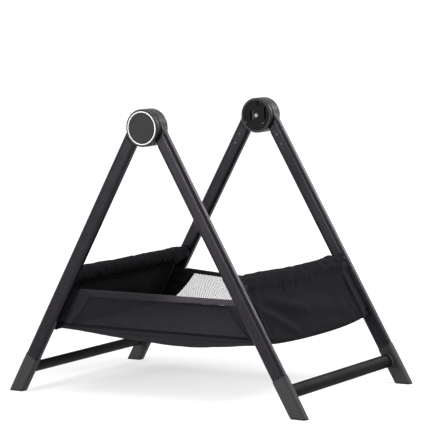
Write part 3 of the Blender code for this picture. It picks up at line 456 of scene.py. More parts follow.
FINISHES = (
    CoatedTube("tube_coating_left", "201d23", -STAND.lean),
    CoatedTube("tube_coating_right", "201d23", STAND.lean),
    CoatedTube("rail_coating", "0d0c0e", 0.0, 0.42, 0.0, 0.04, (1.0, 0.02, 1.0)),
    MouldedPlastic("hub_moulding", "19161b", 0.42, level=0.3),
    MouldedPlastic("foot_moulding", "282629", 0.58, 1000.0, 0.0002, 0.35),
    MouldedPlastic("button_moulding", "1e1c1f", 0.5, 1500.0, level=0.2),
    MouldedPlastic("socket_moulding", "0d0c0e", 0.6, level=0.12),
    BareMetal("trim_ring_plating", "c0c0be", 0.3, 0.55),
    Rubber("foot_pad_rubber", "131313"),
    BareMetal("plated_steel", "6c6c6e"),
    BareMetal("blackened_steel", "3c3c3f", 0.34, 0.8),
    MouldedPlastic("washer_nylon", "c0bdb4", 0.5),
    WovenCloth("basket_canvas", "1a191d"),
    # A lighter copy of the basket canvas, for the floor, gussets and bindings: painted light, standing in for the
    # bounce light off the studio floor and the front light on them.
    WovenCloth("basket_floor_canvas", "2d2b30"),
    WovenCloth("hem_tape", "2f2d31", 0.0012, 0.0003, 0.05),
    # The front hem's tape gets painted light, lighter and browner towards the stand's right.
    WovenCloth("front_hem_tape", "2f2d31", 0.0012, 0.0003, 0.05, lighter=2.8),
    Thread("net_strand", "404045"),
    Thread("sewing_thread", "1b1a1e"),
)
PART_FINISHES = (
    ("_foot_pad", "foot_pad_rubber"), ("_foot", "foot_moulding"), ("_leg", "tube_coating_{side}"),
    ("_rail_bracket", "hub_moulding"), ("_rail", "rail_coating"), ("_knuckle", "hub_moulding"),
    ("_release_button", "button_moulding"), ("_trim_ring", "trim_ring_plating"), ("_hub_washer", "washer_nylon"),
    ("_basket_stud", "socket_moulding"), ("_screw", "blackened_steel"), ("_rivet", "blackened_steel"),
    ("_adapter_socket", "socket_moulding"), ("", "plated_steel"),
)


class Finishes:
    """The stand's materials, each made once, and what they go on."""

    def __init__(self) -> None:
        """Makes the materials."""
        self.materials = {finish.name: finish.material() for finish in FINISHES}

    def __getitem__(self, name: str) -> Material:
        """The material of a named finish."""
        return self.materials[name]

    def for_part(self, name: str) -> Material:
        """Picks the material of a solid part by the first ending that its name holds."""
        finish = next(finish for ending, finish in PART_FINISHES if ending in name)
        return self[finish.format(side=name.split("_")[0])]

    def dress(self) -> int:
        """Gives every solid part its material, and returns how many there are."""
        for name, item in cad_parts.items():
            item.data.materials.clear()
            item.data.materials.append(self.for_part(name))
        return len(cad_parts)


def only(item: Item) -> None:
    """Selects one object alone and makes it the active one.

    Args:
        item: The object.
    """
    bpy.ops.object.select_all(action="DESELECT")
    item.select_set(True)
    bpy.context.view_layer.objects.active = item


def added(name: str, mesh: bpy.types.Mesh, material: Material) -> Item:
    """Puts a mesh into the scene as a piece.

    Args:
        name: The piece's name.
        mesh: The mesh.
        material: Its finish.

    Returns:
        The object.
    """
    item = bpy.data.objects.new(name, mesh)
    bpy.context.scene.collection.objects.link(item)
    mesh.materials.append(material)
    return item


def apply_modifiers(item: Item) -> None:
    """Applies an object's modifiers in order.

    Args:
        item: The object.
    """
    only(item)
    for modifier in list(item.modifiers):
        bpy.ops.object.modifier_apply(modifier=modifier.name)


@dataclass(frozen=True)
class Crease:
    """A soft fold in cloth, with a shallow valley beside it.

    Its two ends are given across the stand and along the cloth's fall.
    """

    start: tuple[float, float]
    end: tuple[float, float]
    width: float
    height: float

    def lift(self, across: float, along: float) -> float:
        """How far the fold raises the cloth.

        Args:
            across: Place across the stand.
            along: Place along the cloth's fall.

        Returns:
            The height, in metres.
        """
        run = (self.end[0] - self.start[0], self.end[1] - self.start[1])
        length = math.hypot(*run)
        place = (across - self.start[0], along - self.start[1])
        share = (place[0] * run[0] + place[1] * run[1]) / length ** 2
        if not 0.0 < share < 1.0:
            return 0.0
        beside = (place[0] * run[1] - place[1] * run[0]) / length / self.width
        ridge = math.exp(-beside ** 2) - 0.5 * math.exp(-((beside - 1.7) / 1.3) ** 2)
        return self.height * math.sin(math.pi * share) ** 0.7 * ridge


def ramp(low: float, high: float, value: float) -> float:
    """A smooth rise from 0 to 1 between two values."""
    share = min(1.0, max(0.0, (value - low) / (high - low)))
    return share * share * (3 - 2 * share)


def wobble(*place: float) -> float:
    """Smooth noise about 0, at a place in three coordinates."""
    return noise.noise(Vector(place))


def between(low: float, high: float, share: float) -> float:
    """The value at a share, from -1 to 1, of the way between two values."""
    return low + (high - low) * (share + 1) / 2


def smooth_line(points: Sequence[tuple[float, float]], count: int) -> list[tuple[float, float]]:
    """Draws a smooth line through points, in even steps.

    Args:
        points: The points, in two coordinates.
        count: How many steps.

    Returns:
        The line's points, one more than the steps.
    """
    fine = []
    for index in range(len(points) - 1):
        before = Vector(points[max(index - 1, 0)])
        here, there = Vector(points[index]), Vector(points[index + 1])
        after = Vector(points[min(index + 2, len(points) - 1)])
        for step in range(12):
            t = step / 12
            fine.append(0.5 * (2 * here + (there - before) * t
                               + (2 * before - 5 * here + 4 * there - after) * t ** 2
                               + (3 * here - before - 3 * there + after) * t ** 3))
    fine.append(Vector(points[-1]))
    lengths = [0.0]
    for a, b in zip(fine, fine[1:]):
        lengths.append(lengths[-1] + (b - a).length)
    line, index = [], 0
    for step in range(count + 1):
        target = lengths[-1] * step / count
        while index < len(fine) - 2 and lengths[index + 1] < target:
            index += 1
        span = lengths[index + 1] - lengths[index]
        place = fine[index].lerp(fine[index + 1], (target - lengths[index]) / span if span else 0.0)
        line.append((place.x, place.y))
    return line


@dataclass
class Sheet:
    """A sheet of cloth laid over a grid, whose two shares run from -1 to 1."""

    name: str
    columns: int
    rows: int
    flat: tuple[float, float]
    thickness: float = 0.0015

    def point(self, u: float, v: float) -> Vector:
        """The place of a point of the sheet.

        Args:
            u: Share across.
            v: Share along.

        Returns:
            The point in the stand's axes.
        """
        raise NotImplementedError

    def normal(self, u: float, v: float) -> Vector:
        """The direction square to the sheet at a point.

        Args:
            u: Share across.
            v: Share along.

        Returns:
            A unit vector.
        """
        step = 0.01
        low_u, high_u = max(u - step, -1.0), min(u + step, 1.0)
        low_v, high_v = max(v - step, -1.0), min(v + step, 1.0)
        across = self.point(high_u, v) - self.point(low_u, v)
        along = self.point(u, high_v) - self.point(u, low_v)
        return across.cross(along).normalized()

    def grid(self) -> Item:
        """Adds the grid, lays its points in place and scales its map to the cloth's size.

        Returns:
            The object.
        """
        bpy.ops.object.select_all(action="DESELECT")
        bpy.ops.mesh.primitive_grid_add(x_subdivisions=self.columns, y_subdivisions=self.rows, size=2)
        item = bpy.context.object
        item.name = item.data.name = self.name
        for vertex in item.data.vertices:
            vertex.co = self.point(vertex.co.x, vertex.co.y)
        layer = item.data.uv_layers[0]
        layer.name = Coordinates.CLOTH.value
        for corner in layer.data:
            corner.uv = (corner.uv[0] * self.flat[0], corner.uv[1] * self.flat[1])
        return item

    def build(self, material: Material, slot: str = "basket_cloth") -> Item:
        """Makes the sheet with its thickness and finish.

        Args:
            material: Its finish.
            slot: Not used.

        Returns:
            The object.
        """
        item = self.grid()
        wall = item.modifiers.new("thickness", "SOLIDIFY")
        wall.thickness = self.thickness
        wall.offset = 0.0
        wall.use_even_offset = True
        apply_modifiers(item)
        bpy.ops.object.shade_smooth_by_angle(angle=math.radians(50))
        item.data.materials.append(material)
        return item


@dataclass
class Blending:
    """Cloth that spans both frames: its place is baked into its mesh."""

    start: float = -0.235
    end: float = 0.235

    def apply(self, item: Item) -> None:
        """Bakes a piece's place into its mesh."""
        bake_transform(item)


def end_bow(across: float, depth: float = 0.0070, middle: float = 0.01, half: float = 0.2) -> float:
    """How much farther down its frame an end's lower edge hangs than at the legs."""
    return depth * max(0.0, 1 - (abs(across - middle) / half) ** 2.2)


@dataclass
class EndCloth(Sheet):
    """The basket's end: a sleeve gathered round the upper rail, and a panel that hangs from it.

    Beside each leg the cloth turns outward and lies on the leg's inner face.
    """

    side: Side = Side.LEFT
    slack: float = 0.0012
    slack_middle: float = 0.0
    creases: tuple[Crease, ...] = ()
    half_cloth: float = 0.2215
    turn_from: float = 0.1985
    leg_face: float = 0.2137
    turned_length: float = 0.0122
    tab_length: float = 0.0155
    bend_share: float = 0.62
    bend_arc: float = 0.0075
    sleeve_rim: float = 0.0022
    gather_pitch: float = 0.022
    gather: float = 0.0030
    end_rise: float = 0.0009
    edge_place: float = 0.1935
    edge_height: float = 0.0046
    edge_width: float = 0.0050
    curl_start: float = 0.5085
    curl_radius: float = 0.006
    curl_sweep: float = math.radians(105)
    curl_tail: float = 0.010
    curl_steps: int = 6
    corner: tuple[float, float] = (0.140, 0.163)
    sleeve_turn: tuple[float, float] = (206.0, -16.0)
    sleeve_steps: int = 12
    sleeve_foot: tuple[tuple[float, float], ...] = (
        (0.0084, 0.0120), (0.0056, 0.0180), (0.0032, 0.0235), (0.0017, 0.0290), (0.0008, 0.0370))
    hang_steps: int = 5
    _lines: dict[float, list[tuple[float, float]]] = field(default_factory=dict)

    def gathering(self, across: float) -> float:
        """How full the sleeve is between the stitches that gather it.

        Args:
            across: Place across the stand.

        Returns:
            The fullness, about 0 to 1.
        """
        shifted = across + 0.0070 * wobble(across * 31, 9.0, self.side.value)
        depth = 0.75 + 0.5 * wobble(across * 37, 4.0, self.side.value)
        return 0.5 - 0.5 * depth * math.cos(2 * math.pi * shifted / self.gather_pitch)

    def controls(self, across: float) -> list[tuple[float, float]]:
        """The sheet's path, from its inner hem over the rail and down outside.

        Args:
            across: Place across the stand.

        Returns:
            The points that the path passes through, each (outward, drop).
        """
        rail, tail = STAND.upper_rail_drop, STAND.upper_rail_drop + STAND.sleeve_tail
        raised = ramp(*self.corner, abs(across))
        slack = self.slack * (1 - raised) * math.exp(-((across - self.slack_middle) / 0.14) ** 2)
        slack += 0.0011 * wobble(across * 22, 3.0, 5.0 + self.side.value) * (1 - raised)
        slack += 0.0035 * ramp(0.168, 0.197, abs(across))
        full = self.gathering(across)
        line = [(-0.0010, tail + 0.006), (-0.0008 - 0.0006 * full, tail + 0.0005),
                (-0.0024 - 0.0042 * full, tail - 0.0045), (-0.0054 - 0.0036 * full, rail + 0.0150)]
        first, last = self.sleeve_turn
        for step in range(self.sleeve_steps + 1):
            turn = math.radians(first + (last - first) * step / self.sleeve_steps)
            up = max(0.0, math.sin(turn))
            pinched = ramp(math.radians(150), math.radians(first), turn)
            wave = wobble(across * 52, 1.6 * math.cos(turn), 1.6 * math.sin(turn) + 7)
            grow = 0.0023 * wave + self.gather * 0.9 * (full - 0.5) * pinched + self.end_rise * raised
            out = (STAND.sleeve_out + grow) * math.cos(turn)
            rise = (STAND.sleeve_along + 0.6 * grow) * math.sin(turn)
            line.append((out, rail - rise + slack * up))
        pucker = 0.0007 * wobble(across * 110, 0.5, 3.0 + self.side.value)
        for out, down in self.sleeve_foot:
            line.append((out + pucker + 0.0016 * raised * (out / self.sleeve_foot[0][0]), rail + down))
        start, end = rail + self.sleeve_foot[-1][1], self.curl_start + end_bow(across)
        for step in range(1, self.hang_steps + 1):
            line.append((0.0, start + (end - start) * step / self.hang_steps))
        return line + self.curl(end)

    def curl(self, drop: float) -> list[tuple[float, float]]:
        """The lower end of the path, which rolls in under the basket's floor.

        Args:
            drop: Where the roll starts.

        Returns:
            The roll's points, each (outward, drop).
        """
        start, line = Vector((0.0, drop)), []
        for step in range(1, self.curl_steps + 1):
            turn = self.curl_sweep * step / self.curl_steps
            line.append((start.x - self.curl_radius * (1 - math.cos(turn)),
                         start.y + self.curl_radius * math.sin(turn)))
        out, down = line[-1]
        for reach in (self.curl_tail / 2, self.curl_tail):
            line.append((out - reach * math.sin(self.curl_sweep), down + reach * math.cos(self.curl_sweep)))
        return line

    def tape_edges(self, item: Item, material: Material) -> None:
        """Gives the cloth that is turned out beside the legs the finish of its edging tape.

        Args:
            item: The built sheet.
            material: The tape's finish.
        """
        item.data.materials.append(material)
        map_layer = item.data.uv_layers[Coordinates.CLOTH.value].data
        start = self.share_at(STAND.upper_rail_drop + 0.014)
        for polygon in item.data.polygons:
            corners = [map_layer[index].uv for index in polygon.loop_indices]
            u = 2 * sum(corner.x for corner in corners) / len(corners) / self.flat[0] - 1
            v = 2 * sum(corner.y for corner in corners) / len(corners) / self.flat[1] - 1
            if abs(u) > self.turn_from / self.half_cloth and v > start:
                polygon.material_index = 1

    def folds(self, across: float, drop: float) -> float:
        """How far the hanging panel stands out.

        Args:
            across: Place across the stand.
            drop: Place down the frame.

        Returns:
            The distance outward.
        """
        tail = STAND.upper_rail_drop + STAND.sleeve_tail
        hang = (drop - tail) / (STAND.end_panel_drop - tail)
        if hang <= -0.12:
            return 0.0
        shift = sum(crease.lift(across, drop) for crease in self.creases)
        near = max(0.0, 1 - abs(across) / self.turn_from)
        puckers = 0.0016 * math.exp(-abs(hang) * 4.5) * wobble(across * 62, drop * 6, 1.0)
        billow = 0.0022 * math.sin(11.5 * across + 0.4) * near
        fall = wobble(across * 15, drop * 12, 5.0) * 0.0030 * min(1.0, 2.5 * near + 0.1)
        low_corner = ramp(0.150, 0.192, abs(across)) * ramp(0.450, 0.495, drop) * (1 - ramp(0.512, 0.518, drop))
        low_corner *= 1 - ramp(0.183, 0.1975, abs(across))
        bunch = 0.0034 * low_corner * wobble(across * 95, drop * 80, 2.0)
        edge = self.edge_height * math.exp(-((abs(across) - self.edge_place) / self.edge_width) ** 2)
        bunch += edge * ramp(0.395, 0.425, drop) * (1 - ramp(0.500, 0.513, drop))
        along = min(1.0, max(0.0, 0.10 + hang)) * (1 - ramp(0.86, 1.02, hang))
        return (shift + billow + fall) * along + puckers * (1 - ramp(0.9, 1.0, hang)) + bunch

    def turned(self, outward: float, drop: float, outer: bool) -> float:
        """How much of the cloth is turned out beside the leg.

        Args:
            outward: The path's place outward.
            drop: Its place down the frame.
            outer: Whether the path has passed over the rail.

        Returns:
            The length turned out.
        """
        rail = STAND.upper_rail_drop
        if not outer:
            return self.sleeve_rim * ramp(-0.010, 0.0, outward)
        length = self.sleeve_rim + (self.turned_length - self.sleeve_rim) * ramp(rail + 0.006, rail + 0.026, drop)
        length += (self.tab_length - self.turned_length) * ramp(0.478, 0.490, drop)
        return length * (1 - 0.94 * ramp(0.5080, 0.5125, drop))

    @cached_property
    def crest(self) -> float:
        """The share along the sheet at which it passes over the rail."""
        line = self.line(0.0)
        return 2 * min(range(len(line)), key=lambda index: line[index][1]) / self.rows - 1

    def share_at(self, drop: float) -> float:
        """The share along the sheet at which its outer face passes a drop."""
        index = max(place for place, (_, down) in enumerate(self.line(0.0)) if down < drop)
        return 2 * index / self.rows - 1

    def line(self, across: float) -> list[tuple[float, float]]:
        """The smoothed path, kept for the next call.

        Args:
            across: Place across the stand.

        Returns:
            Its points, each (outward, drop).
        """
        key = round(across, 5)
        if key not in self._lines:
            self._lines[key] = smooth_line(self.controls(key), self.rows)
        return self._lines[key]

    def point(self, u: float, v: float) -> Vector:
        """The place of a point: across the stand by u, and from the hem over the rail and down by v."""
        cloth = u * self.half_cloth
        across = math.copysign(min(abs(cloth), self.turn_from), cloth)
        line = self.line(across)
        place = (v + 1) / 2 * self.rows
        index = min(int(place), self.rows - 1)
        share = place - index
        here, there = Vector(line[index]), Vector(line[index + 1])
        spot = here.lerp(there, share)
        out = Vector(((there - here).y, -(there - here).x)).normalized()
        outer = v > self.crest
        shift = self.folds(across, spot.y) if outer else 0.0
        beyond = max(0.0, (abs(cloth) - self.turn_from) / (self.half_cloth - self.turn_from))
        if beyond:
            bend = min(1.0, beyond / self.bend_share) * math.pi / 2
            length = self.turned(spot.x, spot.y, outer)
            arc = min(length, self.bend_arc)
            straight = max(0.0, beyond - self.bend_share) / (1 - self.bend_share) * (length - arc)
            shift = shift * math.cos(bend) + arc * (1 - math.cos(bend)) + straight
            across += math.copysign((self.leg_face - self.turn_from) * math.sin(bend), cloth)
        spot += out * shift
        hang = max(0.0, spot.y - STAND.upper_rail_drop) / (STAND.end_panel_drop - STAND.upper_rail_drop)
        lift = STAND.end_panel_lift * (min(1.0, abs(across) / STAND.half_width)) ** 4 * hang
        return STAND.leg_point(self.side, spot.x, across, spot.y - lift)


LEFT_CREASES = (
    Crease((-0.16, 0.42), (0.02, 0.50), 0.016, 0.0030),
    Crease((0.02, 0.41), (0.15, 0.47), 0.014, -0.0025),
    Crease((-0.05, 0.43), (0.13, 0.505), 0.018, 0.0028),
)
RIGHT_CREASES = (
    Crease((-0.205, 0.399), (0.000, 0.468), 0.0145, 0.0125),
    Crease((-0.090, 0.442), (0.150, 0.476), 0.0180, 0.0088),
    Crease((-0.215, 0.418), (-0.066, 0.512), 0.0125, 0.0075),
    Crease((-0.160, 0.385), (-0.135, 0.425), 0.0070, 0.0020),
    Crease((-0.135, 0.385), (-0.118, 0.415), 0.0050, 0.0016),
    Crease((0.048, 0.380), (0.036, 0.402), 0.0040, 0.0013),
    Crease((0.063, 0.396), (0.045, 0.424), 0.0045, 0.0014),
    Crease((0.083, 0.400), (0.066, 0.428), 0.0045, 0.0013),
    Crease((0.118, 0.408), (0.102, 0.430), 0.0050, 0.0012),
    Crease((0.120, 0.506), (0.200, 0.478), 0.0070, 0.0022),
)


@dataclass
class FloorCloth(Sheet):
    """The basket's sagging floor, laid on the ends' rolled edges and turned up outside the sides."""

    sag: float = 0.0365
    rim: float = 0.1417
    half_length: float = 0.2640
    bay: float = 0.0060
    wall_top: float = 0.1458
    wall_from: float = 0.1975
    wall_share: float = 0.925
    wall_turn: float = 0.0085
    wall_sweep: float = math.radians(115)
    crease: float = 0.0030
    ripple: float = 0.0022

    def wall(self, share: float) -> tuple[float, float]:
        """Lays the width flat between the sides, and turns it up outside them.

        Args:
            share: The share of the width, from -1 to 1.

        Returns:
            Its place across, and its share of the wall's height.
        """
        size = abs(share)
        if size <= self.wall_share:
            return share / self.wall_share * self.wall_from, 0.0
        turn = (size - self.wall_share) / (1 - self.wall_share) * self.wall_sweep
        out = self.wall_from + self.wall_turn * math.sin(turn)
        return math.copysign(out, share), (1 - math.cos(turn)) / (1 - math.cos(self.wall_sweep))

    def point(self, u: float, v: float) -> Vector:
        """The place of a point: along the stand by u, and across it by v."""
        x = u * self.half_length
        y, rise = self.wall(v)
        inside = min(1.0, abs(v) / self.wall_share)
        bowl = (1 - abs(u) ** 2.8) * (1 - inside ** 2.5) * (1 - 0.16 * u)
        hang = end_bow(y)
        x += u * hang * math.sin(STAND.lean)
        base = self.rim - self.bay * (1 - abs(u) ** 3) * (1 + 0.05 * u) - hang * math.cos(STAND.lean) * abs(u) ** 3
        crease = self.crease * math.sin(5 * u + 3 * v) * (1 - u ** 2) * (1 - inside ** 2)
        ripple = wobble(x * 16, y * 13, 2.0) * (1 - inside ** 4)
        ripple += 0.45 * wobble(x * 46, y * 30, 6.0) * (1 - u ** 8) * inside
        height = base - self.sag * bowl + crease + self.ripple * ripple
        top = self.wall_top + 0.0045 * ramp(0.235, self.half_length, abs(x))
        return Vector((x, y, height + rise * (top - base)))


@dataclass
class SideWall:
    """The upright plane of a basket side, and the lines that its pieces share."""

    end: End
    sag: float = 0.0
    bottom: float = 0.1455
    hem: float = 0.0125
    hem_ends: float = 0.026
    hem_taper: float = 0.22
    cover: float = 0.0009
    top_margin: float = 0.055
    bottom_margin: float = 0.036
    inset: float = 0.0018
    swell: float = 0.0012
    hollow: float = 0.006

    def place(self, x: float, height: float, out: float = 0.0) -> Vector:
        """A point of the side, sagged with its top edge and set outward.

        Args:
            x: Along the stand.
            height: Height in a taut side.
            out: Distance outward from the side's middle plane.

        Returns:
            The point.
        """
        half = STAND.reach(STAND.side_top)
        drop = 0.0
        if abs(x) < half:
            taut = (height - self.bottom) / (STAND.side_top - self.bottom)
            drop = self.sag * math.cos(math.pi * x / (2 * half)) ** 1.5 * taut
        swell = self.swell * math.sin(9 * x + 1.5) * math.sin(math.pi * (height - self.bottom) / 0.085)
        y = self.end.value * (STAND.half_width - self.inset + out + swell)
        return Vector((x, y, height - drop))

    def net_edge(self, height: float) -> float:
        """The net's upright edge: a slightly hollow line, a margin short of the end panel.

        Args:
            height: Height in a taut side.

        Returns:
            The distance in X from the middle.
        """
        low, high = self.bottom, STAND.side_top - self.hem
        share = min(1.0, max(0.0, (height - low) / (high - low)))
        margin = self.bottom_margin + (self.top_margin - self.bottom_margin) * share
        return self.panel_edge(height) - margin - self.hollow * math.sin(math.pi * share)

    def panel_edge(self, height: float) -> float:
        """Half the side's length at a height, up to the end panel's cloth."""
        return STAND.reach(height, -0.0014)


@dataclass
class SidePiece(Sheet):
    """A piece of a basket side."""

    wall: SideWall = field(default_factory=lambda: SideWall(End.FRONT))


@dataclass
class Gusset(SidePiece):
    """The cloth between a side's net and an end panel."""

    side: Side = Side.LEFT

    def point(self, u: float, v: float) -> Vector:
        """The place of a point: from the net's edge to the panel by u, and up by v."""
        height = between(self.wall.bottom - 0.002, STAND.side_top - 0.0015, v)
        x = between(self.wall.net_edge(height) - 0.003, self.wall.panel_edge(height), u)
        fade = math.sin(math.pi * (u + 1) / 2) ** 0.7 * math.sin(math.pi * (v + 1) / 2) ** 0.5
        fold = 0.0013 * math.sin(6.3 * u + 4.2 * v + 0.8) + 0.0009 * math.sin(11.0 * u - 3.0 * v)
        fold += 0.0026 * wobble(x * 70, height * 48, self.side.value * 3.0)
        bunch = (1 - ramp(-1.0, -0.35, v)) * 0.0022 * wobble(x * 120, height * 160, 8.0)
        return self.wall.place(self.side.value * x, height, self.wall.cover + fold * fade + bunch * (1 - u ** 2))


@dataclass
class Binding(SidePiece):
    """The narrow tape over the seam between a side's net and a gusset."""

    side: Side = Side.LEFT
    width: float = 0.0052

    def point(self, u: float, v: float) -> Vector:
        """The place of a point: across the tape by u, and up by v."""
        height = between(self.wall.bottom - 0.001, STAND.side_top - self.wall.hem + 0.001, v)
        x = self.wall.net_edge(height) - 0.001 + self.width / 2 * u
        ripple = 0.0004 * wobble(height * 150, u, self.side.value * 7.0)
        return self.wall.place(self.side.value * x, height, 0.0030 - 0.0012 * u ** 2 + ripple)


@dataclass
class Skirt(SidePiece):
    """The band along a side's lower edge, where net, gussets and floor are sewn together."""

    foot: float = 0.1482
    height: float = 0.0050

    def point(self, u: float, v: float) -> Vector:
        """The place of a point: along the stand by u, and up by v."""
        height = between(self.foot, self.foot + self.height, v)
        x = u * (self.wall.panel_edge(height) - 0.001)
        ripple = 0.0005 * wobble(x * 70, v, 4.0)
        return self.wall.place(x, height, 0.0026 + ripple - 0.0006 * v)


@dataclass
class Hem(SidePiece):
    """The tape folded over a side's top edge."""

    half_gap: float = 0.0016

    def point(self, u: float, v: float) -> Vector:
        """The place of a point: along the stand by u, and round the fold by v."""
        top = STAND.side_top - 0.0004
        deep = self.wall.hem * (1 - self.wall.hem_taper * ramp(-0.1, 0.6, u))
        length = 2 * deep + math.pi * self.half_gap
        run = (v + 1) / 2 * length
        if run < deep:
            out, height = -self.half_gap, top - self.half_gap - deep + run
        elif run > length - deep:
            out, height = self.half_gap, top - self.half_gap - (run - (length - deep))
        else:
            turn = math.pi * (run - deep) / (length - 2 * deep)
            out, height = -self.half_gap * math.cos(turn), top - self.half_gap + self.half_gap * math.sin(turn)
        x = u * (self.wall.panel_edge(height) - self.wall.hem_ends)
        ripple = 0.0004 * wobble(x * 45, height * 40, self.wall.end.value * 5.0)
        return self.wall.place(x, height, out + ripple + math.copysign(0.0004, out))


@dataclass
class Net(SidePiece):
    """A side's see-through net of crossing strands."""

    strand: float = 0.0012

    def point(self, u: float, v: float) -> Vector:
        """The place of a point: along the stand by u, and up by v."""
        height = between(self.wall.bottom - 0.0015, STAND.side_top - self.wall.hem + 0.0014, v)
        return self.wall.place(u * (self.wall.net_edge(height) + 0.001), height)

    def build(self, material: Material, slot: str = "basket_mesh") -> Item:
        """Makes the net: square cells turned into diamonds, and their edges given thickness."""
        item = self.grid()
        cells = bmesh.new()
        cells.from_mesh(item.data)
        square_edges = [edge for edge in cells.edges if not edge.is_boundary]
        bmesh.ops.poke(cells, faces=cells.faces[:])
        bmesh.ops.dissolve_edges(cells, edges=square_edges, use_verts=False)
        cells.to_mesh(item.data)
        cells.free()
        wire = item.modifiers.new("strands", "WIREFRAME")
        wire.thickness = self.strand
        wire.use_even_offset = False
        wire.use_boundary = True
        apply_modifiers(item)
        item.data.materials.append(material)
        return item


@dataclass
class Stitching:
    """Rows of stitches: a short rounded thread repeated along a line."""

    length: float = 0.0027
    gap: float = 0.0012
    radius: float = 0.00028
    bluntness: float = 0.6
    sink: float = 0.00035

    def stitch(self) -> tuple[list[Vector], list[tuple[int, ...]]]:
        """Makes one stitch, lying along X.

        Returns:
            Its points and its faces.
        """
        bpy.ops.object.select_all(action="DESELECT")
        bpy.ops.mesh.primitive_uv_sphere_add(segments=6, ring_count=5, radius=1.0, rotation=(0, math.pi / 2, 0))
        item = bpy.context.object
        bpy.ops.object.transform_apply(rotation=True)
        points = [Vector((math.copysign(abs(v.co.x) ** self.bluntness, v.co.x) * self.length / 2, v.co.y * self.radius,
                          v.co.z * self.radius)) for v in item.data.vertices]
        faces = [tuple(p.vertices) for p in item.data.polygons]
        bpy.data.objects.remove(item, do_unlink=True)
        return points, faces

    def rows(self, name: str, lines: Sequence[Sequence[tuple[Vector, Vector]]],
             material: Material) -> Item:
        """Sews rows of stitches into one piece.

        Args:
            name: The piece's name.
            lines: For each row, its points with the directions out of the cloth.
            material: The thread's finish.

        Returns:
            The object.
        """
        shape, cells = self.stitch()
        points, faces = [], []
        for line in lines:
            travelled, due = 0.0, self.length / 2
            for (a, out), (b, _) in zip(line, line[1:]):
                span = (b - a).length
                while span > 0 and travelled + span >= due:
                    middle = a.lerp(b, (due - travelled) / span)
                    along = (b - a).normalized()
                    side = out.cross(along).normalized()
                    lift = along.cross(side)
                    base = len(points)
                    for p in shape:
                        sunk = self.sink * (2 * p.x / self.length) ** 4
                        points.append(middle + along * p.x + side * p.y + lift * (p.z - sunk))
                    faces.extend(tuple(base + i for i in cell) for cell in cells)
                    due += self.length + self.gap
                travelled += span
        mesh = bpy.data.meshes.new(name)
        mesh.from_pydata(points, [], faces)
        item = added(name, mesh, material)
        only(item)
        bpy.ops.object.shade_smooth()
        return item


def seam(sheet: Sheet, along: float, reach: float, steps: int, lift: float,
         outward: Vector) -> list[tuple[Vector, Vector]]:
    """Draws a seam line across a sheet.

    Args:
        sheet: The sheet.
        along: The share along it at which the seam runs.
        reach: The share across at which it ends, on both sides of the middle.
        steps: How many steps it has.
        lift: Distance from the sheet's middle to its surface.
        outward: Which way the seam faces, roughly.

    Returns:
        The line's points with the directions out of the cloth.
    """
    line = []
    for step in range(steps + 1):
        u = reach * (2 * step / steps - 1)
        out = sheet.normal(u, along)
        if out.dot(outward) < 0:
            out = -out
        line.append((sheet.point(u, along) + out * lift, out))
    return line


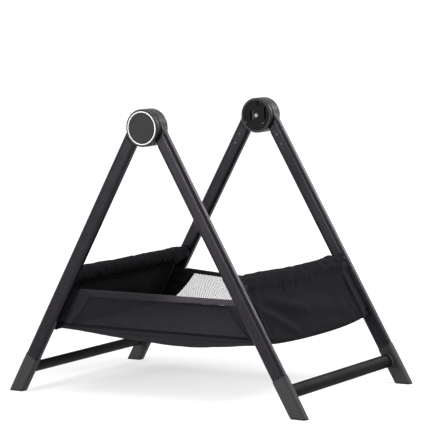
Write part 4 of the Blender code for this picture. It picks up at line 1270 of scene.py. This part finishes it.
@dataclass
class Basket:
    """The whole basket: two ends, a floor and two sides. Seams lie at shares along and across their sheets."""

    finishes: Finishes
    blending: Blending = field(default_factory=Blending)
    stitching: Stitching = field(default_factory=Stitching)
    inner_seam: float = -0.935
    hem_seam: float = 0.90
    skirt_seam: float = 0.45
    end_seam_reach: float = 0.88
    side_seam_reach: float = 0.98
    end_seam_lift: float = 0.0009
    side_seam_lift: float = 0.0006

    def make_end(self, side: Side) -> None:
        """Makes one end of the basket on its frame.

        Args:
            side: The frame.
        """
        label = side.name.lower()
        left = side is Side.LEFT
        cloth = EndCloth(f"basket_{label}_end_cloth", 176, 104, (0.443, 0.245), side=side,
                         slack=0.0012 if left else 0.0052, slack_middle=0.0 if left else 0.05,
                         creases=LEFT_CREASES if left else RIGHT_CREASES)
        item = cloth.build(self.finishes["basket_canvas"])
        cloth.tape_edges(item, self.finishes["hem_tape"])
        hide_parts(f"basket_{label}_end")
        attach(item, f"{label}_frame")
        outward = STAND.leg_point(side, 1.0, 0.0, 0.4) - STAND.leg_point(side, 0.0, 0.0, 0.4)
        sleeve_seam = cloth.share_at(STAND.upper_rail_drop + STAND.sleeve_tail)
        seams = [seam(cloth, along, self.end_seam_reach, 160, self.end_seam_lift, facing)
                 for along, facing in ((self.inner_seam, -outward), (sleeve_seam, outward))]
        thread = self.stitching.rows(f"basket_{label}_end_stitching", seams, self.finishes["sewing_thread"])
        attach(thread, f"{label}_frame")
        LOG.info("%s: %d faces", item.name, len(item.data.polygons))

    def make_floor(self) -> None:
        """Makes the basket's floor."""
        floor = FloorCloth("basket_floor_cloth", 150, 120, (0.535, 0.43))
        item = floor.build(self.finishes["basket_floor_canvas"])
        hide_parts("basket_floor")
        self.blending.apply(item)
        LOG.info("%s: %d faces", item.name, len(item.data.polygons))

    def make_side(self, end: End) -> None:
        """Makes one side of the basket: net, gussets, bindings, skirt and hem.

        Args:
            end: Which side.
        """
        label = end.name.lower()
        front = end is End.FRONT
        wall = SideWall(end) if front else SideWall(end, 0.0118, hem=0.0085, hem_ends=0.034, hem_taper=0.0,
                                                    cover=-0.0030, bottom_margin=0.026)
        pieces = []
        net = Net(f"basket_{label}_net", 88, 15, (0.40, 0.07), wall=wall)
        pieces.append(net.build(self.finishes["net_strand"]))
        for side in Side:
            gusset = Gusset(f"basket_{side.name.lower()}_{label}_gusset", 22, 30, (0.06, 0.085), wall=wall, side=side)
            item = gusset.build(self.finishes["basket_floor_canvas"])
            pieces.append(item)
            binding = Binding(f"basket_{side.name.lower()}_{label}_binding", 6, 60, (0.0052, 0.077), 0.0008,
                              wall=wall, side=side)
            tape = binding.build(self.finishes["basket_floor_canvas"])
            pieces.append(tape)
        hem_flat = (0.40 - 2 * wall.hem_ends, 2 * wall.hem + 0.005)
        hem = Hem(f"basket_{label}_hem", 120, 20, hem_flat, 0.0009, wall=wall)
        hem_item = hem.build(self.finishes["front_hem_tape" if front else "hem_tape"])
        skirt = Skirt(f"basket_{label}_skirt", 130, 6, (0.53, 0.0051), 0.0009, wall=wall)
        skirt_item = skirt.build(self.finishes["basket_canvas"])
        facing = Vector((0.0, end.value, 0.0))
        seams = [seam(sheet, along, self.side_seam_reach, 120, self.side_seam_lift, toward)
                 for sheet, along, toward in ((hem, self.hem_seam, facing), (hem, -self.hem_seam, -facing),
                                              (skirt, self.skirt_seam, facing))]
        thread = self.stitching.rows(f"basket_{label}_side_stitching", seams, self.finishes["sewing_thread"])
        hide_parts(f"basket_{label}_side")
        for item in (*pieces, hem_item, skirt_item, thread):
            self.blending.apply(item)
        LOG.info("%s side: %d pieces", label, len(pieces) + 3)

    def build(self) -> None:
        """Makes all of the basket."""
        self.make_floor()
        for side in Side:
            self.make_end(side)
        for end in End:
            self.make_side(end)


@dataclass
class ButtonSpring:
    """A button's coil spring, between its frame and its button, made from a copy of its solid."""

    end: End
    frame_body: str

    def build(self, material: Material) -> Item:
        """Makes the spring from a copy of its solid, and hides the solid.

        Args:
            material: Its finish.

        Returns:
            The object.
        """
        label = self.end.name.lower()
        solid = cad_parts[f"{label}_button_spring"]
        mesh = solid.data.copy()
        mesh.transform(solid.matrix_world)
        mesh.materials.clear()
        item = added(f"{label}_button_coil", mesh, material)
        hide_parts(solid.name)
        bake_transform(item)
        return item


@dataclass(frozen=True)
class Lamp:
    """A square softbox that faces the stand's axis at a height."""

    name: str
    place: tuple[float, float, float]
    aim_height: float
    size: float
    power: float

    def build(self) -> None:
        """Adds the softbox."""
        bpy.ops.object.light_add(type="AREA", location=self.place)
        lamp = bpy.context.object
        lamp.name = self.name
        lamp.data.shape = "RECTANGLE"
        lamp.data.size = lamp.data.size_y = self.size
        lamp.data.energy = self.power
        facing = Vector((0.0, 0.0, self.aim_height)) - Vector(self.place)
        lamp.rotation_euler = facing.to_track_quat("-Z", "Y").to_euler()


@dataclass
class Studio:
    """The floor, the lights and the camera."""

    azimuth: float = math.radians(32.679)
    elevation: float = math.radians(5.870)
    roll: float = math.radians(-1.0618)
    place: tuple[float, float, float] = (2.5535, -3.9619, 0.8652)
    lens: float = 185.58
    floor_size: float = 60.0
    world_level: float = 0.28
    # Painted shadow on the floor: glow levels over depth before and behind the stand, and over distance around it.
    painted_shadow_before: tuple[float, ...] = (0.27, -0.30, 0.50, 0.92)
    painted_shadow_behind: tuple[float, ...] = (0.36, 0.44, 0.0, 0.66)
    painted_shadow_around: tuple[float, ...] = (0.55, 2.6, 0.5, 1.0)
    lamps: tuple[Lamp, ...] = (
        Lamp("overhead_softbox", (0.2, -0.3, 3.2), 0.2, 3.2, 62.0),
        Lamp("front_softbox", (-1.0, -3.0, 0.8), 0.35, 0.9, 52.0),
        Lamp("back_softbox", (1.15, 2.5, 1.6), 0.35, 0.9, 21.0),
        Lamp("right_softbox", (2.43, 0.45, 2.35), 0.3, 0.8, 38.0),
    )

    def make_floor(self) -> None:
        """Makes the pale floor, which reads white to the camera and keeps the stand's shadow.

        Its glow goes from one level to another over a range of depth, before and behind the stand, or of distance
        around it. The glow is lower near the stand and ends sharply behind it, which paints a shadow there on top of
        the lamps' own.
        """
        bpy.ops.object.select_all(action="DESELECT")
        bpy.ops.mesh.primitive_plane_add(size=self.floor_size)
        floor = bpy.context.object
        floor.name = "studio_floor"
        nodes = Nodes("studio_floor_paint")
        nodes.feed(nodes.shader, {"Base Color": (0.52, 0.52, 0.52, 1.0), "Roughness": 0.9,
                                  "Specular IOR Level": 0.0})
        here = nodes.add("TexCoord").outputs["Object"]
        distance = nodes.add("VectorMath", {0: here}, operation="LENGTH").outputs["Value"]
        view = (-math.sin(self.azimuth), math.cos(self.azimuth), 0.0)
        depth = nodes.add("VectorMath", {0: here, 1: view}, operation="DOT_PRODUCT").outputs["Value"]
        # Painted shadow: the glow is lower near the stand and ends sharply behind it.
        painted_shadow_near = nodes.maths("MAXIMUM", nodes.ranged(depth, *self.painted_shadow_before), nodes.ranged(depth, *self.painted_shadow_behind))
        level = nodes.maths("MAXIMUM", painted_shadow_near, nodes.ranged(distance, *self.painted_shadow_around))
        glow = nodes.add("Emission", {"Strength": nodes.maths("MULTIPLY", nodes.seen(), level)})
        both = nodes.add("AddShader", {0: nodes.shader.outputs["BSDF"], 1: glow.outputs["Emission"]})
        nodes.link(both.outputs["Shader"], nodes.tree.nodes["Material Output"].inputs["Surface"])
        floor.data.materials.append(nodes.material)

    def make_world(self) -> None:
        """Makes the white surroundings, with a plain level of light on the stand."""
        world = bpy.data.worlds.new("studio_world")
        bpy.context.scene.world = world
        world.use_nodes = True
        tree = Tree(world.node_tree)
        tree.feed(world.node_tree.nodes["Background"], {
            "Color": (1.0, 1.0, 1.0, 1.0), "Strength": tree.ranged(tree.seen(), 0.0, 1.0, self.world_level)})

    def make_camera(self) -> None:
        """Makes the camera at the photograph's place and angle."""
        camera = bpy.data.objects.new("camera", bpy.data.cameras.new("camera"))
        bpy.context.scene.collection.objects.link(camera)
        camera.data.lens = self.lens
        camera.data.sensor_width = 36.0
        camera.data.sensor_fit = "HORIZONTAL"
        camera.data.clip_end = 200.0
        a, e, r = self.azimuth, self.elevation, self.roll
        back = Vector((math.sin(a) * math.cos(e), -math.cos(a) * math.cos(e), math.sin(e)))
        level = Vector((math.cos(a), math.sin(a), 0.0))
        raised = back.cross(level)
        right = math.cos(r) * level + math.sin(r) * raised
        up = -math.sin(r) * level + math.cos(r) * raised
        turn = Matrix((right, up, back)).transposed().to_4x4()
        camera.matrix_world = Matrix.Translation(self.place) @ turn
        bpy.context.scene.camera = camera

    def build(self) -> None:
        """Makes the studio."""
        bpy.context.scene.view_settings.view_transform = "Standard"
        self.make_camera()
        self.make_floor()
        self.make_world()
        for lamp in self.lamps:
            lamp.build()


def main() -> None:
    """Builds the stand's looks in order."""
    logging.basicConfig(level=logging.INFO, format="%(message)s")
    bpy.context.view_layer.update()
    Studio().build()
    finishes = Finishes()
    LOG.info("finished %d solid parts", finishes.dress())
    for end, body in ((End.FRONT, "left_frame"), (End.BACK, "right_frame")):
        ButtonSpring(end, body).build(finishes["plated_steel"])
    Basket(finishes).build()


if __name__ == "__main__":
    main()
